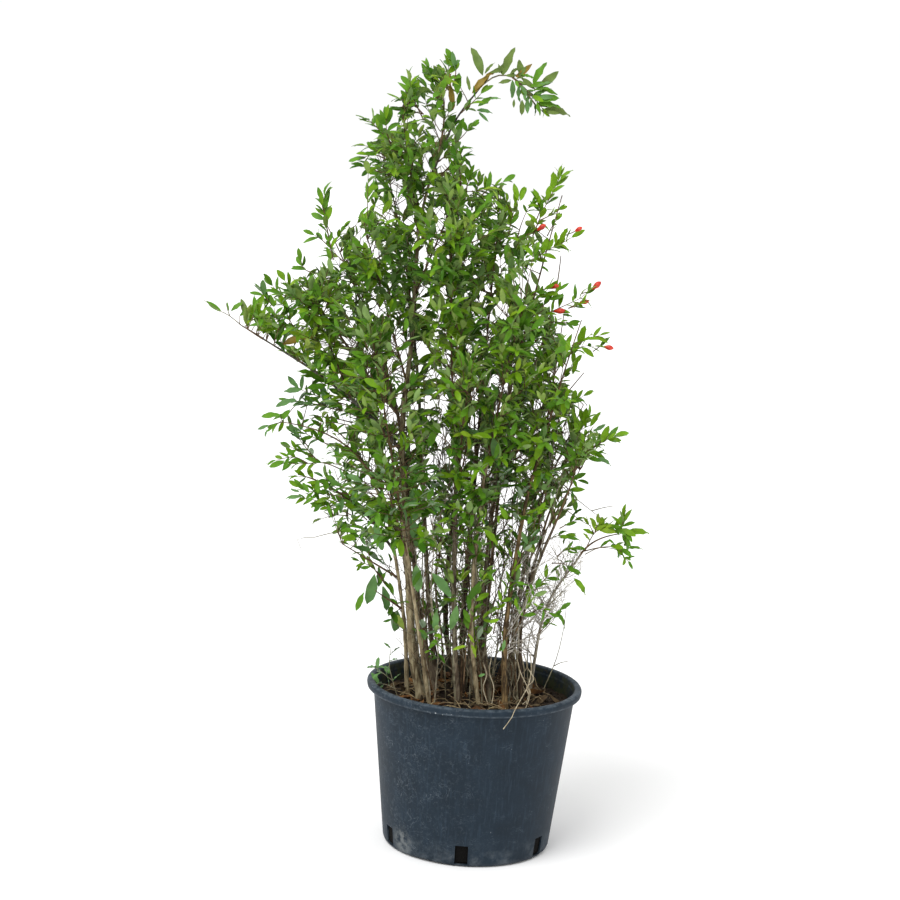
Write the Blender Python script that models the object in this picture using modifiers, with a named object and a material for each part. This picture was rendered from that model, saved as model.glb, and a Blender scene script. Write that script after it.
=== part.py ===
"""Many-stemmed pomegranate shrub in its nursery pot, in metres, +Z up, origin under the pot's middle."""

import math
import random

import bmesh
import bpy
from mathutils import Matrix, Vector
from mathutils.bvhtree import BVHTree

# Clearances
GAP = 0.0003                # between any two pieces that meet
WELD = 0.00002              # points of one piece closer than this are made one
GUARD = 0.0008              # extra room kept round a limb when twigs and leaves are placed

# Pot: an injection-moulded container 40 cm across the rim
POT_HEIGHT = 0.307
RIM_RADIUS = 0.200
RIM_TALL = 0.014
RIM_LIP = 0.0065            # radius of the rolled lip's outer curve
WALL_TOP_RADIUS = 0.1877
WALL_BASE_RADIUS = 0.1565
BASE_ROUND = 0.010          # rounding where the wall turns under
WALL = 0.0030
FLOOR = 0.0040
RIM_SHOULDER_DROP = 0.0022  # the lip's inner edge stands this much under its crest
RIM_SHOULDER = 1.6          # where the lip's crest begins, in lip radii from its outside
RIM_DRAFT = 0.0015          # how far the skirt of the rim draws in at its foot
RIM_UNDERCUT = (0.0005, 0.0008)
POT_STEPS = 42
SLOTS = 6                   # drainage slots round the foot
SLOT_DEEP = 0.030           # reach of a slot's cutter through the wall
SLOT_WIDE = 0.024
SLOT_LOW = 0.0055
SLOT_TALL = 0.036
SLOT_TURN = math.radians(-92)

# Potting mix
SOIL_TOP = 0.276
SOIL_EDGE_DROP = 0.005
SOIL_FLAT_RADIUS = 0.155

# Limbs
FLARE = 1.45                # foot of a stem against the stem just above it
FLARE_TALL = 0.016
LIMB_STEP = 0.085           # length of one straight run in a limb

# Leaves and twigs
LEAF_LONG = 0.058
LEAF_WIDE = 0.027
LEAF_THICK = 0.0024
KEEL_WIDE = 0.866           # width and depth of the keeled three-sided blade that a leaf starts from
KEEL_DEEP = 0.75
LEAF_SINK = 0.0008          # how far a leaf's root is carried past its twig's middle
LEAF_TRIES = 6
LEAF_SIZES = (0.85, 1.12)   # least and greatest share of a leaf's plain length and width
LEAF_JITTER = 0.22          # how far a leaf's heading strays
LEAF_ROLL = 0.8             # most turn of a blade about its own length, in radians
LEAF_STAGGER = 0.0060       # one leaf of a pair stands this much further up the twig
PAIR_SPOT = 0.55            # where a twig's pair of leaves grows, as a share of its length
PAIR_LEAN = math.radians(50)
LEADER_RADIUS = 0.0025
LEADER_RADII = (LEADER_RADIUS, 0.0022, 0.0020, 0.0017)
LEADER_SHARES = (0.0, 0.34, 0.67, 1.0)
LEADER_LEAVES = (0.93, 0.96, 0.5)  # where single leaves grow on the leading shoot
LEADER_LEAF_LEAN = math.radians(42)
STEEPEST = 0.94             # cosine of the least angle between a side shoot and its limb
SEATINGS = 5                # steps in which a side shoot's foot is brought up to its limb
TWIG_RADIUS = 0.0015
TWIG_TIP_RADIUS = 0.0013
TWIG_STEP = 0.042           # spacing of side twigs up a leading shoot
TWIG_COUNTS = (4, 7)        # fewest and most side twigs on a leafy shoot
BARE_COUNT = 9              # side twigs on a dead shoot
TWIG_SPOTS = (0.10, 0.78)   # first side twig's place on the shoot, and the share they spread over
TWIG_LEANS = (42, 60)       # degrees off the leading shoot
TWIG_LIFT = 0.2
TWIG_DROOP = -1.1           # lift of the twigs in a hanging spray
TWIG_TAPER = 0.45           # how much shorter the side twigs get towards the shoot's tip
TWIG_SIZES = (0.85, 1.1)
TWIG_SHORTEN = 0.8          # each try where there is no room
TWIG_LEAST = 0.3            # shortest side twig, as a share of its mass's reach
GOLDEN_TURN = math.radians(137.5)
HEARTS = (0.2, 0.6, 1.0)    # points of the leading shoot that the crown's room is shared out by
SPACE_MARGIN = 0.0015       # room kept to the next mass's space
BUD_LONG = 0.022
BUD_WIDE = 0.011
BUD_STEP = 3                # every third side twig of a flowering mass ends in a bud
FUSED_SHARE = 0.85          # least volume a joined mass keeps of its pieces' own

# Stems: foot on the soil, points the stem passes, tip; diameters at foot and tip
STEMS = {
    "stem_main": ((-0.097, -0.028), [(-0.119, -0.030, 0.369), (-0.140, -0.022, 0.588),
                  (-0.158, -0.014, 0.760), (-0.150, -0.004, 0.950), (-0.146, 0.000, 1.150),
                  (-0.118, 0.000, 1.290)], 0.0150, 0.0052),
    "stem_left": ((-0.124, -0.008), [(-0.137, -0.016, 0.420), (-0.172, -0.035, 0.600),
                  (-0.205, -0.042, 0.680)], 0.0080, 0.0050),
    "stem_left_front": ((-0.080, -0.078), [(-0.117, -0.105, 0.480), (-0.148, -0.130, 0.640)],
                        0.0075, 0.0050),
    "stem_left_spire": ((-0.071, 0.013), [(-0.112, 0.030, 0.438), (-0.165, 0.068, 0.760),
                        (-0.205, 0.068, 0.880)], 0.0110, 0.0054),
    "stem_back_left_top": ((-0.072, 0.074), [(-0.096, 0.100, 0.430), (-0.135, 0.145, 0.800),
                           (-0.152, 0.146, 0.930)], 0.0100, 0.0052),
    "stem_back_dark": ((-0.040, 0.108), [(-0.064, 0.132, 0.424), (-0.052, 0.180, 0.780),
                       (-0.055, 0.184, 0.880)], 0.0110, 0.0054),
    "stem_centre_front": ((-0.028, -0.062), [(-0.045, -0.066, 0.459), (-0.056, -0.082, 0.740),
                          (-0.064, -0.090, 0.820)], 0.0105, 0.0054),
    "stem_centre": ((-0.022, 0.036), [(-0.028, 0.045, 0.430), (-0.018, 0.052, 0.800),
                    (-0.015, 0.048, 0.900)], 0.0110, 0.0054),
    "stem_front": ((0.010, -0.074), [(-0.012, -0.083, 0.444), (-0.008, -0.098, 0.660),
                   (0.002, -0.110, 0.750)], 0.0090, 0.0052),
    "stem_right_spire": ((0.032, -0.040), [(0.008, -0.040, 0.460), (0.026, -0.022, 0.800),
                         (0.048, -0.020, 0.930)], 0.0100, 0.0052),
    "stem_orange": ((0.058, -0.066), [(0.052, -0.062, 0.431), (0.072, -0.074, 0.650),
                    (0.094, -0.083, 0.760)], 0.0110, 0.0052),
    "stem_dark_right": ((0.088, -0.026), [(0.080, -0.012, 0.432), (0.112, 0.010, 0.600)],
                        0.0105, 0.0052),
    "stem_far_right": ((0.104, 0.036), [(0.124, 0.012, 0.447), (0.180, -0.006, 0.558)],
                       0.0075, 0.0048),
    "stem_back_right": ((0.060, 0.086), [(0.082, 0.120, 0.500), (0.103, 0.132, 0.720)],
                        0.0095, 0.0052),
    "stem_back": ((0.010, 0.118), [(0.020, 0.165, 0.500), (0.028, 0.192, 0.690)], 0.0090, 0.0052),
    "stem_back_left": ((-0.104, 0.064), [(-0.146, 0.116, 0.500), (-0.186, 0.144, 0.650)],
                       0.0090, 0.0052),
}

# Boughs: the limb it forks from, the height of the fork, points passed, diameters at fork and tip
BOUGHS = {
    "bough_left_long": ("stem_main", 0.735, [(-0.236, -0.050, 0.812), (-0.320, -0.064, 0.864),
                        (-0.410, -0.070, 0.918)], 0.0085, 0.0050),
    "bough_left_low": ("stem_left", 0.550, [(-0.205, -0.022, 0.604), (-0.250, -0.014, 0.638)],
                       0.0058, 0.0048),
    "bough_arch": ("stem_main", 1.225, [(-0.096, 0.004, 1.330), (-0.050, 0.002, 1.400)],
                   0.0050, 0.0046),
    "bough_left_upper": ("stem_left_spire", 0.790, [(-0.232, 0.032, 0.868), (-0.272, 0.024, 0.922)],
                         0.0060, 0.0048),
    "bough_right_upper": ("stem_right_spire", 0.770, [(0.060, 0.020, 0.850), (0.082, 0.030, 0.920)],
                          0.0060, 0.0048),
    "bough_right_low": ("stem_dark_right", 0.470, [(0.108, -0.044, 0.560), (0.130, -0.056, 0.625)],
                        0.0058, 0.0048),
}

# Foliage: the limb each grows from, height there (None is the limb's tip), tip of its leading shoot,
# reach of its side twigs, and what it carries
MASSES = {
    "foliage_crown_top": ("stem_main", None, (-0.122, -0.004, 1.400), 0.060, "leaves"),
    "foliage_arch": ("bough_arch", None, (0.068, 0.002, 1.362), 0.046, "leaves"),
    "foliage_top_left": ("stem_main", 1.130, (-0.190, 0.000, 1.352), 0.075, "leaves"),
    "foliage_upper_middle": ("stem_main", 1.020, (-0.075, -0.040, 1.225), 0.080, "leaves"),
    "foliage_upper_left": ("stem_main", 0.860, (-0.235, -0.066, 1.120), 0.080, "leaves"),
    "foliage_left_spire": ("stem_left_spire", None, (-0.322, 0.058, 1.140), 0.062, "leaves"),
    "foliage_left_upper": ("bough_left_upper", None, (-0.362, 0.010, 1.030), 0.075, "leaves"),
    "foliage_left_far": ("bough_left_long", None, (-0.456, -0.074, 0.956), 0.052, "leaves"),
    "foliage_left_middle": ("bough_left_long", 0.830, (-0.320, -0.095, 0.990), 0.075, "leaves"),
    "foliage_left_out": ("stem_left", None, (-0.375, -0.045, 0.780), 0.070, "leaves"),
    "foliage_left_low": ("bough_left_low", None, (-0.346, -0.012, 0.680), 0.060, "leaves"),
    "foliage_left_bottom": ("stem_left", 0.500, (-0.255, -0.060, 0.565), 0.050, "leaves"),
    "foliage_left_hanging": ("stem_left", 0.440, (-0.190, -0.070, 0.484), 0.040, "hanging"),
    "foliage_right_spire": ("stem_right_spire", None, (0.106, -0.018, 1.215), 0.060, "leaves"),
    "foliage_right_top": ("stem_centre", None, (-0.004, 0.030, 1.195), 0.080, "leaves"),
    "foliage_right_upper": ("bough_right_upper", None, (0.112, 0.030, 1.105), 0.065, "buds"),
    "foliage_right_middle": ("stem_orange", None, (0.152, -0.090, 1.000), 0.070, "buds"),
    "foliage_right_arm": ("stem_right_spire", 0.700, (0.165, -0.030, 0.900), 0.070, "buds"),
    "foliage_right_shoulder": ("stem_back_right", 0.600, (0.172, 0.062, 0.830), 0.070, "leaves"),
    "foliage_right_lobe": ("stem_dark_right", None, (0.198, 0.020, 0.760), 0.070, "leaves"),
    "foliage_right_low": ("bough_right_low", None, (0.160, -0.062, 0.725), 0.060, "leaves"),
    "foliage_far_right": ("stem_far_right", None, (0.252, -0.018, 0.606), 0.046, "leaves"),
    "foliage_front_top": ("stem_centre_front", None, (-0.084, -0.112, 1.110), 0.080, "leaves"),
    "foliage_front_middle": ("stem_centre_front", 0.680, (-0.042, -0.165, 0.870), 0.075, "leaves"),
    "foliage_front_right": ("stem_front", None, (0.045, -0.135, 1.010), 0.080, "leaves"),
    "foliage_front_left": ("stem_left_front", None, (-0.205, -0.165, 0.920), 0.080, "leaves"),
    "foliage_front_low": ("stem_left_front", 0.560, (-0.175, -0.180, 0.700), 0.055, "leaves"),
    "foliage_centre": ("stem_centre", 0.700, (-0.034, -0.032, 0.885), 0.075, "leaves"),
    "foliage_back_left_top": ("stem_back_left_top", None, (-0.218, 0.120, 1.240), 0.080, "leaves"),
    "foliage_back_top": ("stem_back_dark", None, (-0.085, 0.140, 1.190), 0.080, "leaves"),
    "foliage_back_right": ("stem_back_right", None, (0.128, 0.142, 0.990), 0.080, "leaves"),
    "foliage_back": ("stem_back", None, (0.035, 0.205, 0.960), 0.080, "leaves"),
    "foliage_back_left": ("stem_back_left", None, (-0.250, 0.160, 0.900), 0.080, "leaves"),
    "foliage_back_low": ("stem_back_left", 0.540, (-0.235, 0.110, 0.690), 0.060, "leaves"),
    "foliage_back_right_low": ("stem_back_right", 0.500, (0.178, 0.168, 0.690), 0.065, "leaves"),
    "dead_twigs_right": ("stem_orange", 0.410, (0.150, -0.090, 0.545), 0.085, "bare"),
}


# Materials
def material(name, colour, roughness):
    """A plain Principled material for one sub-part."""
    made = bpy.data.materials.new(name)
    made.use_nodes = True
    shader = made.node_tree.nodes["Principled BSDF"]
    shader.inputs["Base Color"].default_value = (*colour, 1.0)
    shader.inputs["Roughness"].default_value = roughness
    shader.inputs["Metallic"].default_value = 0.0
    return made


BARK_GREY = (0.20, 0.155, 0.115)
BARK_DARK = (0.075, 0.055, 0.045)
BARK_ORANGE = (0.30, 0.155, 0.07)
LEAF_GREEN = (0.085, 0.19, 0.035)
LEAF_FRESH = (0.15, 0.27, 0.04)
TWIG_DEAD = (0.33, 0.27, 0.21)
POT_BLACK = (0.030, 0.038, 0.047)
SOIL_BROWN = (0.055, 0.035, 0.022)


# Scene and object helpers
def clear_scene():
    """Remove every object that is in the scene at the start."""
    for old in list(bpy.data.objects):
        bpy.data.objects.remove(old, do_unlink=True)


def new_collection(name):
    """A collection linked to the scene."""
    made = bpy.data.collections.new(name)
    bpy.context.scene.collection.children.link(made)
    return made


def mesh_object(name, mesh, collection):
    """Put a mesh in the scene as an object of the same name."""
    made = bpy.data.objects.new(name, mesh)
    collection.objects.link(made)
    return made


def bake(source, name, collection, weld=True):
    """Replace an object with its evaluated mesh, welded and facing outwards."""
    bpy.context.view_layer.update()
    seen = source.evaluated_get(bpy.context.evaluated_depsgraph_get())
    mesh = bpy.data.meshes.new_from_object(seen)
    place = source.matrix_world.copy()
    bpy.data.objects.remove(source, do_unlink=True)
    form = bmesh.new()
    form.from_mesh(mesh)
    if weld:
        bmesh.ops.remove_doubles(form, verts=form.verts, dist=WELD)
    bmesh.ops.recalc_face_normals(form, faces=form.faces)
    form.to_mesh(mesh)
    form.free()
    made = mesh_object(name, mesh, collection)
    made.matrix_world = place
    return made


def finish(piece, look, smooth=True):
    """Name the mesh after its piece, give it its material and shade it."""
    piece.data.name = piece.name
    piece.data.materials.clear()
    piece.data.materials.append(look)
    if smooth:
        piece.data.shade_smooth()
        piece.data.set_sharp_from_angle(angle=math.radians(40))


# Paths and tubes
def smooth_path(points, steps):
    """Points evenly spread on a smooth curve that passes through all the given points."""
    ends = [points[0] * 2 - points[1]] + points + [points[-1] * 2 - points[-2]]
    fine = []
    for a, b, c, d in zip(ends, ends[1:], ends[2:], ends[3:]):
        for k in range(12):
            t = k / 12
            fine.append(0.5 * (b * 2 + (c - a) * t + (a * 2 - b * 5 + c * 4 - d) * t * t
                               + (b * 3 - a - c * 3 + d) * t ** 3))
    fine.append(points[-1].copy())
    reach = [0.0]
    for a, b in zip(fine, fine[1:]):
        reach.append(reach[-1] + (b - a).length)
    even = []
    for k in range(steps + 1):
        goal = reach[-1] * k / steps
        spot = max(i for i in range(len(fine)) if reach[i] <= goal + 1e-9)
        if spot >= len(fine) - 1:
            even.append(fine[-1].copy())
            continue
        part = (goal - reach[spot]) / (reach[spot + 1] - reach[spot])
        even.append(fine[spot].lerp(fine[spot + 1], part))
    return even


def tube(name, points, radii, collection, profile=None):
    """A closed tapering tube: six-sided, or with the profile curve's section."""
    path = bpy.data.curves.new(name, "CURVE")
    path.dimensions = "3D"
    path.use_fill_caps = True
    if profile is None:
        path.bevel_depth = 1.0
        path.bevel_resolution = 1
    else:
        path.bevel_mode = "OBJECT"
        path.bevel_object = profile
    run = path.splines.new("POLY")
    run.points.add(len(points) - 1)
    for spot, point, radius in zip(run.points, points, radii):
        spot.co = (*point, 1.0)
        spot.radius = radius
    guide = bpy.data.objects.new(name + "_path", path)
    collection.objects.link(guide)
    return bake(guide, name, collection)


def triangle_profile(collection):
    """Three-sided section of unit radius for the twigs."""
    path = bpy.data.curves.new("twig_section", "CURVE")
    path.dimensions = "2D"
    run = path.splines.new("POLY")
    run.points.add(2)
    for k, spot in enumerate(run.points):
        turn = 2 * math.pi * k / 3
        spot.co = (math.cos(turn), math.sin(turn), 0.0, 1.0)
    run.use_cyclic_u = True
    made = bpy.data.objects.new("twig_section", path)
    collection.objects.link(made)
    made.hide_render = True
    made.display_type = "WIRE"
    return made


def tree_of(piece):
    """Search tree of an object's faces, for finding what touches what."""
    verts = [piece.matrix_world @ v.co for v in piece.data.vertices]
    faces = [tuple(f.vertices) for f in piece.data.polygons]
    return BVHTree.FromPolygons(verts, faces)


# Pot and soil
def arc(centre, radius, start, stop, steps):
    """Points of an arc in the pot's half section, in degrees."""
    turns = [math.radians(start + (stop - start) * k / steps) for k in range(steps + 1)]
    return [(centre[0] + radius * math.cos(a), centre[1] + radius * math.sin(a)) for a in turns]


def wall_radius(height):
    """Outer radius of the sloping wall at a height."""
    slope = (WALL_TOP_RADIUS - WALL_BASE_RADIUS) / (POT_HEIGHT - RIM_TALL - BASE_ROUND)
    return WALL_BASE_RADIUS + slope * (height - BASE_ROUND)


def pot_profile():
    """Half section of the pot, up the inside, over the rolled rim and down the outside."""
    inner_round = BASE_ROUND - WALL / 2
    inside_low = FLOOR + inner_round
    bend = (wall_radius(inside_low) - WALL - inner_round, inside_low)
    shoulder = POT_HEIGHT - RIM_TALL
    lip = (RIM_RADIUS - RIM_LIP, POT_HEIGHT - RIM_LIP)
    points = [(0.0, FLOOR)]
    points += arc(bend, inner_round, -90, 0, 2)
    points.append((wall_radius(shoulder) - WALL, shoulder))
    points.append((RIM_RADIUS - 2 * RIM_LIP, POT_HEIGHT - RIM_SHOULDER_DROP))
    points.append((RIM_RADIUS - RIM_SHOULDER * RIM_LIP, POT_HEIGHT))
    points += arc(lip, RIM_LIP, 90, 0, 3)
    points.append((RIM_RADIUS - RIM_DRAFT, shoulder))
    points.append((wall_radius(shoulder) + RIM_UNDERCUT[0], shoulder - RIM_UNDERCUT[1]))
    points += arc((wall_radius(BASE_ROUND) - BASE_ROUND, BASE_ROUND), BASE_ROUND, 0, -90, 3)
    points.append((0.0, 0.0))
    return points


def soil_profile():
    """Half section of the potting mix, down its outer side, just clear of the pot."""
    inner_round = BASE_ROUND - WALL / 2
    low = FLOOR + inner_round
    edge = SOIL_TOP - SOIL_EDGE_DROP
    bend = (wall_radius(low) - WALL - inner_round, low)
    points = [(0.0, SOIL_TOP), (SOIL_FLAT_RADIUS, SOIL_TOP), (wall_radius(edge) - WALL - GAP, edge)]
    points += arc(bend, inner_round - GAP, 0, -90, 2)
    points.append((0.0, FLOOR + GAP))
    return points


def turned(name, profile, collection):
    """A solid of revolution about the Z axis from its half section."""
    mesh = bpy.data.meshes.new(name)
    verts = [(r, 0.0, z) for r, z in profile]
    edges = [(k, k + 1) for k in range(len(profile) - 1)]
    mesh.from_pydata(verts, edges, [])
    made = mesh_object(name, mesh, collection)
    screw = made.modifiers.new("turn", "SCREW")
    screw.axis = "Z"
    screw.angle = 2 * math.pi
    screw.steps = POT_STEPS
    screw.render_steps = POT_STEPS
    screw.use_merge_vertices = True
    screw.merge_threshold = WELD
    return bake(made, name, collection)


def slot_cutters(collection):
    """Boxes that cut the drainage slots through the foot of the wall."""
    radius = wall_radius(SLOT_LOW + SLOT_TALL / 2)
    cutters = []
    for k in range(SLOTS):
        turn = SLOT_TURN + 2 * math.pi * k / SLOTS
        form = bmesh.new()
        size = Matrix.Diagonal((SLOT_DEEP, SLOT_WIDE, SLOT_TALL, 1.0))
        bmesh.ops.create_cube(form, size=1.0, matrix=size)
        mesh = bpy.data.meshes.new("slot_cutter")
        form.to_mesh(mesh)
        form.free()
        cutter = mesh_object("slot_cutter", mesh, collection)
        cutter.location = (radius * math.cos(turn), radius * math.sin(turn),
                           SLOT_LOW + SLOT_TALL / 2)
        cutter.rotation_euler = (0.0, 0.0, turn)
        cutter.hide_render = True
        cutter.display_type = "WIRE"
        cutters.append(cutter)
    return cutters


def make_pot(plant, cutter_set):
    """The turned pot with its drainage slots cut."""
    pot = turned("pot", pot_profile(), plant)
    for cutter in slot_cutters(cutter_set):
        cut = pot.modifiers.new("drain slot", "BOOLEAN")
        cut.operation = "DIFFERENCE"
        cut.object = cutter
    finish(pot, material("pot plastic", POT_BLACK, 0.55))


# Limbs
def limb_steps(points):
    """How many straight runs a limb of these points gets."""
    long = sum((b - a).length for a, b in zip(points, points[1:]))
    return max(3, round(long / LIMB_STEP))


def point_at_height(limb, height):
    """Point, direction and radius of a limb where it passes a height."""
    path, radii = limb
    for a, b, ra, rb in zip(path, path[1:], radii, radii[1:]):
        if a.z <= height <= b.z:
            part = (height - a.z) / (b.z - a.z)
            return a.lerp(b, part), (b - a).normalized(), ra + (rb - ra) * part
    return path[-1].copy(), (path[-1] - path[-2]).normalized(), radii[-1]


def stem_path(foot, via):
    """Centre line of a stem: a short upright foot, then a smooth run to the tip."""
    base = Vector((*foot, SOIL_TOP + GAP))
    crown = base + Vector((0.0, 0.0, FLARE_TALL))
    points = [crown] + [Vector(p) for p in via]
    return [base] + smooth_path(points, limb_steps(points))


def stem_radii(path, foot_wide, tip_wide):
    """Radii along a stem, with the flare at its foot."""
    last = len(path) - 1
    plain = [(foot_wide + (tip_wide - foot_wide) * (k - 1) / (last - 1)) / 2 for k in range(1, last + 1)]
    return [plain[0] * FLARE] + plain


def make_stems(plant, guides, barks):
    """All stems, with the fattened copies that keep twigs and leaves clear of them."""
    limbs = {}
    guards = {}
    for number, (name, (foot, via, foot_wide, tip_wide)) in enumerate(STEMS.items()):
        path = stem_path(foot, via)
        radii = stem_radii(path, foot_wide, tip_wide)
        stem = tube(name, path, radii, plant)
        finish(stem, barks[number % len(barks)])
        limbs[name] = (path, radii)
        guards[name] = guard_of(name, path, radii, guides)
    return limbs, guards


def guard_of(name, path, radii, guides):
    """Search tree of a limb made a little fatter than it is."""
    fat = tube(name + "_guard", path, [r + GUARD for r in radii], guides)
    guard = tree_of(fat)
    bpy.data.objects.remove(fat, do_unlink=True)
    return guard


def make_boughs(plant, guides, limbs, guards, bark):
    """Boughs, each with its butt shaped to the stem that it forks from."""
    for name, (parent, height, via, butt_wide, tip_wide) in BOUGHS.items():
        root, _, _ = point_at_height(limbs[parent], height)
        points = [root] + [Vector(p) for p in via]
        path = smooth_path(points, limb_steps(points))
        last = len(path) - 1
        radii = [(butt_wide + (tip_wide - butt_wide) * k / last) / 2 for k in range(last + 1)]
        bough = tube(name, path, radii, plant)
        parent_path, parent_radii = limbs[parent]
        cutter = tube(name + "_saddle", parent_path, [r + GAP for r in parent_radii], guides)
        cut = bough.modifiers.new("saddle", "BOOLEAN")
        cut.operation = "DIFFERENCE"
        cut.object = cutter
        bough = bake(bough, name, plant)
        bpy.data.objects.remove(cutter, do_unlink=True)
        finish(bough, bark)
        limbs[name] = (path, radii)
        guards[name] = guard_of(name, path, radii, guides)


# Foliage
def leader_root(limb, height, tip):
    """Where a leading shoot starts, and which way it leaves."""
    path, radii = limb
    if height is None:
        way = (path[-1] - path[-2]).normalized()
        lean = way.angle(leader_path(path[-1], way, tip)[1] - path[-1])
        return path[-1] + way * (GAP + LEADER_RADIUS * math.sin(lean)), way
    root, along, radius = point_at_height(limb, height)
    away = (tip - root).normalized()
    cosine = max(-STEEPEST, min(STEEPEST, away.dot(along)))
    sine = math.sqrt(1 - cosine * cosine)
    clear = (radius + GAP + LEADER_RADIUS * abs(cosine)) / sine
    return root + away * clear, away


def leader_path(root, way, tip):
    """A shoot that leaves along its limb and bends to its tip."""
    long = (tip - root).length
    bend = root + way * long / 2
    return [root * (1 - t) ** 2 + bend * 2 * t * (1 - t) + tip * t * t for t in LEADER_SHARES]


def seated_root(limb, root, way, tip, guides, profile):
    """Slide a side shoot's foot towards its limb until it stands one gap clear of it."""
    solid = tree_of(bpy.data.objects[limb])
    for _ in range(SEATINGS):
        trial = tube("trial", leader_path(root, way, tip), LEADER_RADII, guides, profile)
        ends = sorted((v.co.copy() for v in trial.data.vertices), key=lambda spot: (spot - root).length)
        bpy.data.objects.remove(trial, do_unlink=True)
        foot = ends[:3]
        foot += [(a + b) / 2 for a, b in zip(foot, foot[1:] + foot[:1])]
        clear = min(solid.find_nearest(spot)[3] for spot in foot)
        root = root - way * (clear - GAP)
    return root


def along_path(path, part):
    """Point and direction at a share of a path's runs."""
    spot = part * (len(path) - 1)
    low = min(int(spot), len(path) - 2)
    return path[low].lerp(path[low + 1], spot - low), (path[low + 1] - path[low]).normalized()


def turned_away(way, turn, lean):
    """A direction that leans off another by an angle, at a turn round it."""
    side = way.cross(Vector((0.31, 0.17, 0.93))).normalized()
    side = Matrix.Rotation(turn, 3, way) @ side
    return (way * math.cos(lean) + side * math.sin(lean)).normalized()


def leaf_place(root, heading, roll, long, wide, thick):
    """Matrix that sets a unit shape on its twig, its ends along the heading."""
    flat = heading.cross(Vector((0.0, 0.0, 1.0)))
    if flat.length < 0.2:
        flat = heading.cross(Vector((1.0, 0.0, 0.0)))
    flat = Matrix.Rotation(roll, 3, heading) @ flat.normalized()
    face = heading.cross(flat)
    place = Matrix((face * thick, flat * wide, heading * long)).transposed().to_4x4()
    place.translation = root + heading * (long / 2 - LEAF_SINK)
    return place


def solid_piece(name, place, across, up, collection):
    """A closed lens or bud: a sphere of few faces set by its matrix."""
    form = bmesh.new()
    bmesh.ops.create_uvsphere(form, u_segments=across, v_segments=up, radius=0.5, matrix=place)
    bmesh.ops.recalc_face_normals(form, faces=form.faces)
    mesh = bpy.data.meshes.new(name)
    form.to_mesh(mesh)
    form.free()
    return mesh_object(name, mesh, collection)


def hearts_of(path):
    """Points that stand for a mass when the crown's room is shared out."""
    return [along_path(path, part)[0] for part in HEARTS]


def in_own_space(points, own, others, reach):
    """True where every point is nearer this mass than any other, and within its reach."""
    for point in points:
        near = min((point - heart).length for heart in own)
        if near > reach:
            return False
        if any((point - heart).length < near + SPACE_MARGIN for heart in others):
            return False
    return True


class Mass:
    """One foliage mass while it grows."""

    def __init__(self, name, seed, path, reach, hearts, guards, done, work, profile):
        self.name = name
        self.dice = random.Random(seed)
        self.path = path
        self.reach = reach
        self.own = hearts[name]
        self.others = [spot for other, spots in hearts.items() if other != name for spot in spots]
        self.guards = guards
        self.done = done
        self.work = work
        self.profile = profile
        self.leaves = []

    def keep(self, piece, neighbours=()):
        """Keep a new piece only if it stays in this mass's space and touches nothing else."""
        points = [piece.matrix_world @ v.co for v in piece.data.vertices]
        fits = in_own_space(points, self.own, self.others, self.reach + LEAF_LONG)
        if fits:
            tree = tree_of(piece)
            fits = not any(tree.overlap(other) for other in [*self.guards, *self.done, *neighbours])
        if not fits:
            bpy.data.objects.remove(piece, do_unlink=True)
        return fits

    def twig(self, root, tip):
        """A straight three-sided side twig, if there is room for it."""
        piece = tube(self.name + "_twig", [root, tip], [TWIG_RADIUS, TWIG_TIP_RADIUS],
                     self.work, self.profile)
        return self.keep(piece)

    def leaf(self, root, heading):
        """One leaf, turned a few ways until it has room, or skipped."""
        for _ in range(LEAF_TRIES):
            size = self.dice.uniform(*LEAF_SIZES)
            jitter = Vector([self.dice.uniform(-LEAF_JITTER, LEAF_JITTER) for _ in range(3)])
            roll = self.dice.uniform(-LEAF_ROLL, LEAF_ROLL)
            place = leaf_place(root, (heading + jitter).normalized(), roll, LEAF_LONG * size,
                               LEAF_WIDE * size / KEEL_WIDE, LEAF_THICK / KEEL_DEEP)
            piece = solid_piece(self.name + "_leaf", place, 3, 2, self.work)
            if self.keep(piece, self.leaves):
                self.leaves.append(tree_of(piece))
                return

    def bud(self, root, heading):
        """A swollen flower bud at a twig's tip."""
        place = leaf_place(root, heading, 0.0, BUD_LONG, BUD_WIDE, BUD_WIDE)
        return self.keep(solid_piece(self.name + "_bud", place, 5, 3, self.work))


def side_twig(mass, kind, part, number):
    """One side twig at a share of the leading shoot; its root, direction and length, or None."""
    root, way = along_path(mass.path, part)
    heading = turned_away(way, number * GOLDEN_TURN, math.radians(mass.dice.uniform(*TWIG_LEANS)))
    lift = TWIG_DROOP if kind == "hanging" else TWIG_LIFT
    heading = (heading + Vector((0.0, 0.0, lift))).normalized()
    long = mass.reach * (1.0 - TWIG_TAPER * part) * mass.dice.uniform(*TWIG_SIZES)
    while long > mass.reach * TWIG_LEAST:
        if mass.twig(root, root + heading * long):
            return root, heading, long
        long *= TWIG_SHORTEN
    return None


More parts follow.
